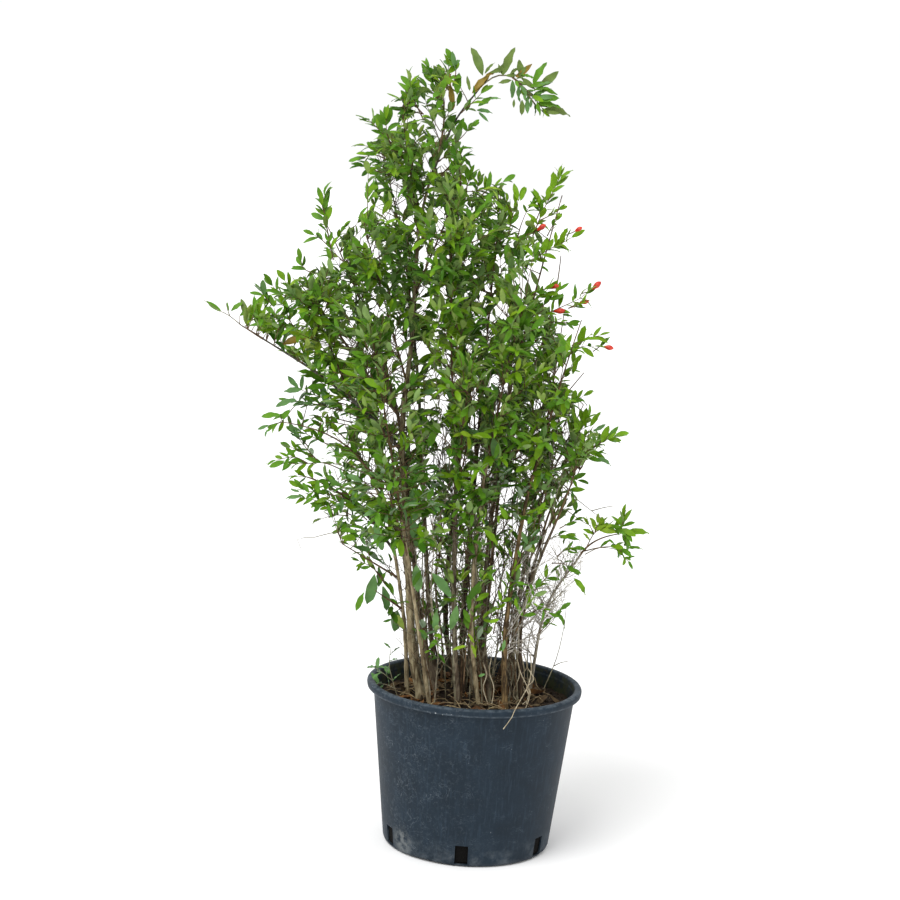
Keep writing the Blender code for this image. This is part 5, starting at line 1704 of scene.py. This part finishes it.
# %% Place the large leaves
# for each depth: tint, x and z of the foot, x and z of the tip, variant
LARGE_LEAVES = {
    -4: """
olive -48 1418 -70 1478 1, olive -12 1421 1 1474 0, bronze -66 1386 -34 1428 3, olive -45 1422 -31 1446 3,
olive -12 1421 -26 1444 5, olive 22 1414 14 1452 2, bronze 10 1419 44 1446 5, mid 42 1408 60 1452 0,
olive 50 1402 90 1430 4, cool 46 1402 76 1420 3, mid 54 1400 90 1397 1, mid 50 1382 92 1390 2,
mid 50 1374 96 1377 0, olive 62 1364 122 1369 5, olive 66 1360 94 1360 1, cool 60 1362 80 1354 3,
olive 4 1413 -20 1408 4, cool 5 1414 9 1380 0, cool 18 1406 14 1372 1, olive 10 1380 9 1364 4,
olive 24 1380 27 1352 2, cool 34 1384 33 1355 4, deep 46 1376 54 1352 3, olive 20 1419 48 1400 0,
olive 8 1416 2 1436 5, cool 30 1396 50 1384 1, cool 40 1386 62 1394 4, olive 14 1413 32 1408 3,
cool 38 1392 30 1374 1, mid 44 1390 68 1402 5, olive -36 1424 -10 1432 4, bronze -44 1418 -22 1430 0,
olive -8 1420 16 1425 0, olive 14 1420 30 1438 4, mid 20 1424 46 1421 2, olive 0 1424 14 1437 2,
mid 36 1404 66 1414 2, mid 44 1398 76 1408 3, cool 50 1388 80 1384 4, olive 12 1416 30 1426 2,
cool 26 1402 18 1386 2, mid 56 1370 84 1378 2, olive -20 1424 -12 1442 4, bronze -64 1390 -40 1424 0,
bronze -98 1354 -108 1406 3, olive -70 1390 -78 1420 3, mid -92 1382 -94 1424 2, deep -92 1362 -84 1392 0,
mid -104 1430 -108 1454 2, cool -104 1432 -90 1446 2, deep -68 1378 -74 1354 2, mid -54 1364 -28 1386 0,
cool -52 1368 -34 1374 2, cool -34 1378 -16 1384 5, cool -56 1357 -24 1359 5, cool -52 1354 -32 1338 3,
deep -114 1320 -92 1350 2, deep -112 1320 -82 1342 0, mid -90 1302 -82 1344 0, deep -110 1280 -106 1308 2,
mid -66 1326 -48 1334 4, deep -76 1273 -56 1255 0, olive -124 1262 -112 1314 0,
olive -142 1214 -122 1262 3, mid -217 1320 -209 1358 2, mid -216 1322 -230 1352 1,
mid -242 1318 -234 1343 2, cool -246 1330 -266 1331 5, cool -250 1262 -280 1258 5,
mid -180 1378 -181 1412 3, mid -166 1376 -172 1402 4, cool -180 1368 -206 1371 5,
deep -168 1349 -206 1352 5, mid -148 1406 -156 1432 2, mid -128 1408 -142 1432 1,
bronze -106 1396 -108 1426 1""",
    -20: """
fresh 80 1202 82 1232 2, fresh 70 1194 54 1225 0, fresh 92 1226 84 1258 2, fresh 98 1240 99 1274 3,
fresh 101 1242 119 1266 5, fresh 28 1200 17 1234 0, fresh 32 1200 38 1224 2, mid -30 1214 -20 1252 1,
fresh 100 1126 99 1150 2, fresh 108 1128 118 1160 2, mid 96 1120 132 1127 5, fresh 76 1106 84 1140 2,
mid 76 1085 96 1078 5, olive 58 1022 52 1056 2, olive 74 1048 58 1076 0, mid 142 1030 140 1056 5,
mid 164 1044 169 1068 5, fresh 156 946 160 986 2, fresh 154 946 152 970 0, mid 192 946 210 970 5,
mid 120 1000 140 1000 0, mid 128 988 144 974 5, fresh 146 892 151 922 2, fresh 176 795 171 836 2,
fresh 184 798 199 829 0, fresh 166 790 154 820 4, fresh 206 770 217 804 2, cool 190 790 214 802 4,
fresh 218 776 232 792 0, cool 226 772 246 778 5, cool 200 741 236 734 5, mid 150 702 176 690 5,
deep 158 680 163 652 2, deep 162 632 179 648 2, olive 134 620 154 648 0, olive 122 650 132 606 1,
olive 152 594 149 574 4, mid 150 592 180 588 5, mid 160 570 184 566 5, cool 70 578 112 584 4,
fresh 206 598 184 608 2, fresh 214 604 230 624 2, young 198 586 186 600 2, mid 244 618 250 598 4,
fresh 262 606 314 616 5, mid 254 612 254 642 2, fresh 222 612 216 632 0, fresh 228 614 248 604 2,
fresh 240 618 262 610 0, fresh 258 604 268 586 2, mid 236 590 213 577 5, mid 232 592 242 582 4,
mid 268 576 297 585 5, mid 266 556 284 566 3, cool 250 574 256 552 5, fresh 172 514 208 484 5,
olive 146 514 138 530 2, fresh 152 512 158 500 2, mid 150 452 170 470 2, mid 146 446 172 420 5,
cool -196 500 -204 436 2, cool -180 478 -164 428 2, mid -214 464 -229 424 0, cool -150 434 -150 388 2,
deep -160 416 -180 406 5, cool -190 514 -182 472 2, mid -174 506 -190 480 0, fresh -250 566 -262 562 2,
fresh -222 522 -228 500 2""",
    -62: """
mid -500 970 -532 990 5, mid -486 972 -492 990 3, mid -482 972 -462 992 2, olive -450 958 -466 1002 1,
fresh -448 955 -425 1008 0, fresh -428 940 -412 975 0, mid -425 938 -440 970 4, bronze -392 912 -320 950 3,
mid -396 918 -382 966 1, cool -376 934 -352 960 3, mid -330 872 -364 926 1, mid -315 868 -326 920 2,
mid -298 852 -354 884 1, mid -298 860 -262 905 0, mid -344 884 -340 910 3, deep -248 800 -200 768 2,
mid -280 850 -250 890 4, mid -432 960 -446 1006 3, mid -412 940 -398 958 5, mid -466 964 -440 985 2,
mid -291 847 -347 877 1, mid -300 846 -343 838 4, deep -262 826 -300 842 0, mid -236 806 -268 800 4,
cool -352 838 -374 856 2, cool -345 836 -380 832 4, cool -356 816 -404 804 5, mid -366 798 -384 776 2,
mid -354 798 -340 778 2, mid -384 786 -430 784 5, mid -388 770 -408 758 2, cool -404 766 -430 756 5,
cool -406 758 -414 742 5, mid -372 702 -404 686 0, mid -334 648 -354 670 0, mid -324 644 -340 664 2,
cool -342 646 -364 649 3, cool -338 638 -368 632 5, mid -314 638 -334 624 0, deep -300 626 -316 608 2,
mid -308 644 -312 672 2, mid -290 692 -286 680 2, cool -262 640 -268 604 1, deep -258 690 -246 660 2""",
    -120: """
cool -158 704 -205 676 4, cool -156 704 -112 692 3, cool -136 664 -122 600 2, fresh -142 558 -134 538 2,
cool -136 610 -108 548 2, cool -120 524 -112 466 2, fresh -190 640 -226 616 2, cool -200 600 -184 540 2,
cool -90 508 -46 464 0, deep -110 512 -128 478 1, mid -98 780 -108 740 2, mid -146 880 -144 852 2,
cool -40 450 -48 396 0, cool -76 442 -80 388 0, young -44 364 -16 378 3, young -10 376 4 352 0,
young -6 380 -14 398 1, fresh 28 640 46 616 2, fresh 0 596 34 570 0, fresh 26 625 28 605 1,
cool -58 774 -14 776 1, cool 18 760 16 720 1, cool 8 770 20 715 4, olive 52 696 74 680 3,
olive -46 868 -4 862 3, cool -2 868 22 842 5, olive -12 1052 -50 1034 5, olive 56 960 24 932 3,
cool -96 855 -134 832 5, cool -82 852 -66 820 1, deep -22 470 -14 440 2, deep 0 498 -22 452 2,
olive 44 902 72 900 4, olive -150 1006 -162 962 1, olive -132 1140 -128 1192 1, olive -130 1212 -72 1213 3,
fresh 40 428 20 420 2, mid 66 500 84 498 2, fresh 70 452 66 470 2, cool 52 390 50 366 0,
cool 20 322 6 316 2, fresh 100 462 110 458 2, mid 8 510 30 520 4, young 4 500 12 516 2""",
}
LARGE_TWIG_REACH = 0.030
TWIGS_BEFORE = -50           # only leaves in front of this depth get a twig of their own
TIP_PLAY = 10                # how far a tip lies before or behind its foot, at most
wood = tree_of(wood_spots)
for depth, rows in LARGE_LEAVES.items():
    for row in rows.split(","):
        tint, *values = row.split()
        foot_x, foot_z, tip_x, tip_z, form = map(int, values)
        foot = place_at(foot_x, foot_z, depth)
        tip = place_at(tip_x, tip_z, depth + stated_dice.uniform(-TIP_PLAY, TIP_PLAY))
        facing = (TO_CAMERA - foot).normalized() + UP * 0.4 + jitter(stated_dice, 0.5)
        axes = leaf_axes((tip - foot).normalized(), facing)
        large_leaves[tint].append((form, foot, *axes, (tip - foot).length))
        start, index, far = wood.find(foot)
        if 0.002 < far < LARGE_TWIG_REACH and depth < TWIGS_BEFORE:
            middle = start.lerp(foot, 0.5) + jitter(stated_dice, 0.001)
            note_twig("red", [start, middle, foot], 0.0009, 0.0005)
print("large leaves", sum(map(len, large_leaves.values())))

# %% [markdown]
# The flower buds point out of the crown to the right, each at the end of its own shoot.

# %% Place the buds
# x and z of each bud's foot and tip
BUDS = [(66, 1150, 81, 1161), (134, 1152, 147, 1160), (96, 1048, 112, 1053), (172, 1050, 187, 1064),
        (152, 1023, 168, 1028), (106, 1005, 126, 1008), (200, 946, 218, 944)]
BUD_DEPTH = -24
for foot_x, foot_z, tip_x, tip_z in BUDS:
    foot = place_at(foot_x, foot_z, BUD_DEPTH)
    tip = place_at(tip_x, tip_z, BUD_DEPTH - 3)
    buds.append((foot, tip - foot))
    note_twig("red", [foot - Vector((0.020, 0.0, 0.010)), foot - (tip - foot) * 0.4, foot], 0.0010, 0.0009)

# %% [markdown]
# ## The thicket of thin stems
# Between the sixteen main stems stand dozens of thin ones, no thicker than a pencil, bare below and
# leafy above. Each follows the middle way between two neighbouring stems with a slight wander, so they
# stay within the clump. Their short side twigs carry more leaves the higher they stand.

# %% Grow the thin stems
THIN_STEMS = 70
THIN_TOPS = (0.66, 1.00)
THIN_RADII = (0.0009, 0.0022)
THIN_POINTS = 19
THIN_WANDER = 0.030
THIN_EDGE = -0.090           # left of this only some of them stand
THIN_SPARED = 0.65
TWIGLET_STEP = (0.011, 0.027)
TWIGLET_LONG = (0.018, 0.070)
LEAFY_LOW = 0.34             # height where the first leaves stand
LEAFY_HIGH = 0.66            # height from which nearly every side twig has leaves
LEAFY_SHARES = (0.09, 0.32)


def wander(seed, height):
    """A slow sideways drift, different for each stem."""
    return Vector((noise.noise(Vector((seed * 3.1, 0.0, height * 6.5))),
                   noise.noise(Vector((0.0, seed * 3.1, height * 6.5))), 0.0)) * THIN_WANDER


def clump_point(pair, share, height):
    """A place between two stems at a height."""
    ends = []
    for name in pair:
        path = limbs[name][0]
        if height <= path[-1].z:
            ends.append(at_height(limbs[name], max(height, path[0].z))[0])
        else:
            way = (path[-1] - path[-3]).normalized()
            ends.append(path[-1] + way * (height - path[-1].z) / max(way.z, 0.5))
    spot = ends[0].lerp(ends[1], share)
    return Vector((spot.x, spot.y, height))


def twiglets(dice, path, look, start, stop):
    """Short side twigs along a thin stem, leafier with height."""
    long = path_length(path)
    reach = start
    while reach < stop * long:
        spot, way = along_path(path, reach / long)
        reach += dice.uniform(*TWIGLET_STEP)
        heading = turned_away(way, dice.uniform(0, 6.28), math.radians(dice.uniform(20, 62)))
        size = dice.uniform(*TWIGLET_LONG)
        end = spot + heading * size
        if not in_outline(end):
            continue
        rise = min(1.0, max(0.0, (spot.z - LEAFY_LOW) / (LEAFY_HIGH - LEAFY_LOW)))
        leafy = 0.0 if spot.z < LEAFY_LOW else LEAFY_SHARES[0] + (LEAFY_SHARES[1] - LEAFY_SHARES[0]) * rise
        if dice.random() < leafy:
            tint = dice.choices(("fresh", "mid", "deep", "cool", "young"), weights=(3, 4, 3, 3, 1))[0]
            leafy_shoot(dice, spot, heading, size, tint, look=look, leaf=dice.uniform(0.022, 0.036),
                        bare=0.30, pair=0.015, missing=0.25, droop=0.25)
        else:
            middle = spot.lerp(end, 0.5) + jitter(dice, 0.0025)
            note_twig(look, [spot, middle, end], 0.0006, 0.0003)
            if size > 0.038:
                fork = turned_away(heading, dice.uniform(0, 6.28), math.radians(45))
                note_twig(look, [middle, middle + fork * size * 0.4], 0.0004, 0.0003)


thin_dice = random.Random(9)
names = list(STEMS)
for k in range(THIN_STEMS):
    first = thin_dice.choice(names)
    feet = sorted(names, key=lambda other: (limbs[other][0][0] - limbs[first][0][0]).length)
    pair = (first, thin_dice.choice(feet[1:6]))
    share = thin_dice.uniform(0.08, 0.92)
    top = thin_dice.uniform(*THIN_TOPS)
    heights = np.linspace(SOIL_TOP - 0.003, top, THIN_POINTS)
    path = [clump_point(pair, share, h) + wander(k, h) for h in heights]
    if path[6].x < THIN_EDGE and thin_dice.random() < THIN_SPARED:
        continue
    while len(path) > 6 and not (in_outline(path[-1]) and in_outline(path[-3])):
        path.pop()
    thick = thin_dice.uniform(*THIN_RADII)
    look = thin_dice.choices(("red", "grey", "dark", "pale"), weights=(3, 5, 2, 2))[0]
    note_twig(look, path, thick, 0.0006)
    twiglets(thin_dice, path, look, thin_dice.uniform(0.03, 0.10), 0.98)
for name in STEMS:
    path, radii = limbs[name]
    twiglets(thin_dice, path, "dark", 0.06, 0.75)
print("twigs", {look: len(found) for look, found in twigs.items()}, "leaves", sum(map(len, leaves.values())))

# %% [markdown]
# Low on the right a tangle of dead, grey twigs leans out over the pot. They stand on the foot of the
# right-hand stems, wander and fork finely, and carry nothing. The tangle has an outline of its own.

# %% Grow the dead twigs
TANGLE = [(70, 345), (90, 352), (116, 372), (150, 440), (190, 540), (184, 590), (122, 604), (84, 590),
          (60, 500), (56, 400)]
DEAD_LIMBS = ("stem_far_right", "stem_far_right", "stem_dark_right", "stem_orange")
DEAD_TWIGS = 150
DEAD_HEIGHTS = (0.31, 0.53)
DEAD_LONG = (0.050, 0.150)
DEAD_THICK = (0.0006, 0.0012)
DEAD_FORKS = (3, 8)
DEAD_FORK_LONG = (0.012, 0.055)
DEAD_STEPS = 5
DEAD_BEND = 0.26

dead_dice = random.Random(23)
dead = []


def dead_twig(dice, root, heading, long, thick):
    """One dead twig that wanders, as far as the tangle reaches."""
    path = [root]
    for _ in range(DEAD_STEPS):
        heading = (heading + jitter(dice, DEAD_BEND)).normalized()
        spot = path[-1] + heading * long / DEAD_STEPS
        if not seen_within(spot, TANGLE):
            break
        path.append(spot)
    if len(path) > 2:
        dead.append((path, np.linspace(thick, 0.0003, len(path)).tolist()))
    return path


for _ in range(DEAD_TWIGS):
    limb = limbs[dead_dice.choice(DEAD_LIMBS)]
    root, way = at_height(limb, dead_dice.uniform(*DEAD_HEIGHTS))
    lean = Vector((dead_dice.uniform(-0.9, 1.1), dead_dice.uniform(-0.5, 0.3), dead_dice.uniform(0.3, 1.0)))
    long, thick = dead_dice.uniform(*DEAD_LONG), dead_dice.uniform(*DEAD_THICK)
    path = dead_twig(dead_dice, root, lean.normalized(), long, thick)
    if len(path) < 3:
        continue
    for _ in range(dead_dice.randrange(*DEAD_FORKS)):
        spot, way = along_path(path, dead_dice.uniform(0.15, 1.0))
        side = turned_away(way, dead_dice.uniform(0, 6.28), math.radians(dead_dice.uniform(30, 85)))
        dead_twig(dead_dice, spot, side, dead_dice.uniform(*DEAD_FORK_LONG), 0.0005)
print("dead twigs", len(dead))

# %% [markdown]
# ## Loose ends
# A few single things show against white or against the pot: tan dry strands that hang over the front of
# the rim, a thin forked bare twig at the lower left, long bare twigs at the right, and at the left edge of
# the pot a low shoot from the root with small round leaves.

# %% Place strands, bare twigs and the sprig
STRANDS = [
    # points as they are seen, each with its depth
    [(70, 378, -20), (75, 360, -24), (82, 336, -28), (82, 317, -32), (75, 298, -36), (75, 283, -38),
     (83, 272, -40)],
    [(85, 360, -10), (91, 336, -14), (92, 315, -20), (86, 293, -25), (83, 276, -30)],
    [(100, 364, -20), (104, 346, -30), (104, 325, -45), (100, 303, -80), (87, 274, -150), (80, 259, -184),
     (76, 249, -196), (73, 240, -199), (59, 218, -200)],
    [(74, 372, -25), (78, 348, -30), (87, 324, -38), (97, 306, -45), (103, 291, -52), (99, 269, -60)],
    [(29, 354, -50), (27, 326, -56), (37, 296, -62), (35, 265, -70)],
    [(79, 360, -10), (73, 341, -15), (78, 311, -20), (89, 290, -26), (88, 272, -30)],
    [(100, 306, -20), (105, 291, -35), (102, 272, -50), (97, 258, -60)],
    [(14, 344, -50), (22, 320, -58), (17, 295, -66), (28, 264, -75)],
    [(88, 366, -12), (96, 340, -15), (84, 318, -18), (94, 296, -20), (90, 277, -22)],
    [(96, 340, -16), (110, 318, -30), (98, 300, -60), (104, 282, -70), (92, 268, -70)],
]
BARE_TWIGS = [
    [(-458, -74, 944), (-486, -72, 964), (-509, -70, 974), (-532, -70, 989)],
    [(-484, -72, 963), (-489, -70, 976), (-492, -70, 988)],
    [(-232, -30, 580), (-280, -30, 572), (-318, -30, 560), (-342, -30, 560), (-336, -30, 540)],
    [(120, -18, 700), (165, -18, 665), (200, -18, 640), (226, -18, 622)],
    [(196, -18, 642), (220, -18, 650), (238, -18, 654)],
    [(152, -18, 640), (180, -18, 622), (198, -18, 614)],
    [(190, -12, 560), (216, -15, 574), (248, -18, 572), (258, -18, 556)],
    [(130, -20, 300), (150, -20, 360), (160, -20, 420), (162, -20, 462)],
    [(146, -20, 345), (158, -20, 352), (172, -20, 356)],
    [(120, -30, 450), (146, -30, 480), (160, -30, 492)],
]
SPRIG = [
    [(-138, -60, 280), (-150, -62, 315), (-158, -64, 348), (-156, -66, 376)],
    [(-150, -62, 315), (-170, -64, 330), (-184, -64, 338)],
    [(-144, -60, 300), (-166, -62, 308), (-178, -62, 306)],
]
SPRIG_LEAF = 0.026

strands = []
for points in STRANDS:
    path = smooth_path([place_at(x, z, y) for x, z, y in points], 18)
    strands.append((path, np.linspace(0.0012, 0.0007, len(path)).tolist()))
strand_look = litter_material("dry pale strand", "#93866d", "#c8bda2")
finish_piece(join_tubes("dry_strands", strands), [strand_look], sharp=60.0)
for points in BARE_TWIGS:
    path = smooth_path([place_at(x, z, y) for x, y, z in points], 8)
    note_twig("grey", path, 0.0010, 0.0005)
sprig_dice = random.Random(12)
for points in SPRIG:
    path = smooth_path([metres(p) for p in points], 8)
    note_twig("grey", path, 0.0009, 0.0005)
    for k in range(3, len(path)):
        way = (path[k] - path[k - 1]).normalized()
        away = turned_away(way, k * PAIR_TURN, math.radians(62))
        large_leaves["cool"].append((2, path[k], *leaf_axes(away, UP + jitter(sprig_dice, 0.5)),
                                     SPRIG_LEAF * sprig_dice.uniform(0.7, 1.2)))
print("strands", len(strands), "bare twigs", len(BARE_TWIGS))

# %% [markdown]
# ## Materials of leaves and twigs
# A leaf is waxy on top, and paler and duller underneath. The tint of each spray is a plain base colour; a
# fine mottle, which has no place of its own, breaks it up. Twig bark is red-brown when young, then grey.

# %% Make the leaf and twig materials
LEAF_COLOURS = {
    "young": ("#7c9a26", "#90a64c"), "fresh": ("#688f1b", "#869f50"), "mid": ("#568222", "#7b9656"),
    "deep": ("#3e6519", "#648147"), "cool": ("#5c8149", "#8da182"), "bronze": ("#84702f", "#857b4e"),
    "olive": ("#61763a", "#7f8c5c"),
}
TWIG_COLOURS = {"red": ("#4a3726", "#6f5a42"), "grey": ("#55503f", "#868069"),
                "dark": ("#2f281e", "#544a38"), "pale": ("#726b58", "#a09781")}


def leaf_material(name, code, roughness):
    """Waxy leaf skin in one tint; noises of 19 and 43 mm shift its brightness and hue a little."""
    look, tree, shader = new_material(name, roughness, ior=1.42, specular=0.13)
    where = object_places(tree)
    mottle = add(tree, "ShaderNodeHueSaturation", {"Color": linear(code)})
    for key, size_mm, detail, low, high in (("Value", 19, 3, 0.52, 1.48), ("Hue", 43, 2, 0.485, 0.515)):
        cloud = add(tree, "ShaderNodeTexNoise", {"Scale": per_metre(size_mm), "Detail": detail,
                                                 "Roughness": 0.55}, {"Vector": where})
        shift = add(tree, "ShaderNodeMapRange", {"To Min": low, "To Max": high}, {"Value": cloud.outputs[0]})
        tree.links.new(shift.outputs["Result"], mottle.inputs[key])
    tree.links.new(mottle.outputs["Color"], shader.inputs["Base Color"])
    rough_relief(tree, shader, where, 3.0, 0.25, 0.5, detail=2)
    return look


def twig_material(name, dark, pale):
    """Thin young bark."""
    return two_tone(name, 0.78, 0.2, dark, pale, 12, (0.38, 0.62), 4, (1.6, 0.4, 0.6))


# %% [markdown]
# Each tint's leaves are joined into pieces that stay under two hundred thousand triangles. On every leaf
# the upper faces take the skin and the lower ones the underside.

# %% Write the leaves and twigs as joined pieces
LEAVES_A_PIECE = 4600
FOLIAGE_NODES = [name for name in MASSES if name != BARE]
TWO_SIDES = [0, 0, 1, 1]


def leaf_pieces(name, forms, stations, found, looks):
    """Joined pieces of one tint, their upper faces in the first look and lower ones in the second."""
    for first in range(0, len(found), LEAVES_A_PIECE):
        some = found[first:first + LEAVES_A_PIECE]
        piece = join_copies(f"{name}_{first // LEAVES_A_PIECE + 1}", forms, some)
        piece.data.polygons.foreach_set("material_index", TWO_SIDES * (len(stations) + 1) * len(some))
        finish_piece(piece, looks, FOLIAGE_NODES, sharp=75.0)


for tint, (top, under) in LEAF_COLOURS.items():
    looks = [leaf_material("leaf skin, " + tint, top, 0.36),
             leaf_material("leaf underside, " + tint, under, 0.62)]
    leaf_pieces("leaves_" + tint, leaf_forms, LEAF_STATIONS, leaves.get(tint, []), looks)
    leaf_pieces("large_leaves_" + tint, large_forms, LARGE_STATIONS, large_leaves[tint], looks)
for look, found in twigs.items():
    finish_piece(join_tubes("twigs_" + look, found),
                 [twig_material("twig bark, " + look, *TWIG_COLOURS[look])], FOLIAGE_NODES, sharp=60.0)
finish_piece(join_tubes("twigs_dead", dead),
             [twig_material("dry dead wood", "#857e73", "#bab4a9")], [BARE], sharp=60.0)

# %% [markdown]
# ## Flower buds
# The buds are waxy, orange-red and about 2 cm long, swollen in the middle and closed to a blunt tip of
# five lobes. One is turned on the lathe and its lobes pinched in; copies of it sit at the shoots' tips.

# %% Model and place the buds
BUD_SECTION = [(0.055, 0.0), (0.10, 0.05), (0.135, 0.15), (0.20, 0.32), (0.255, 0.50), (0.25, 0.66),
               (0.20, 0.80), (0.13, 0.91), (0.05, 1.0)]
bud_model = lathe("bud_model", BUD_SECTION, 20)
shape = vertex_array(bud_model)
turn = np.arctan2(shape[:, 1], shape[:, 0])
shape[:, :2] *= (1 + 0.10 * np.cos(5 * turn) * np.clip(shape[:, 2] - 0.45, 0, 1) * 2)[:, None]
bud_form = (shape[:, [0, 2, 1]] * (1, 1, -1), [tuple(face.vertices) for face in bud_model.data.polygons])
bpy.data.objects.remove(bud_model, do_unlink=True)


# waxy orange-red calyx, darker in patches
bud_look = two_tone("waxy flower bud", 0.34, 0.5, "#b3261a", "#d8432a", 9, (0.35, 0.65), 2)
bud_copies = []
for foot, run in buds:
    way = run.normalized()
    across = way.cross(Vector((0.3, 0.9, 0.2))).normalized()
    bud_copies.append((0, foot - way * 0.001, across, way, across.cross(way), run.length))
finish_piece(join_copies("flower_buds", [bud_form], bud_copies), [bud_look], sharp=60.0)
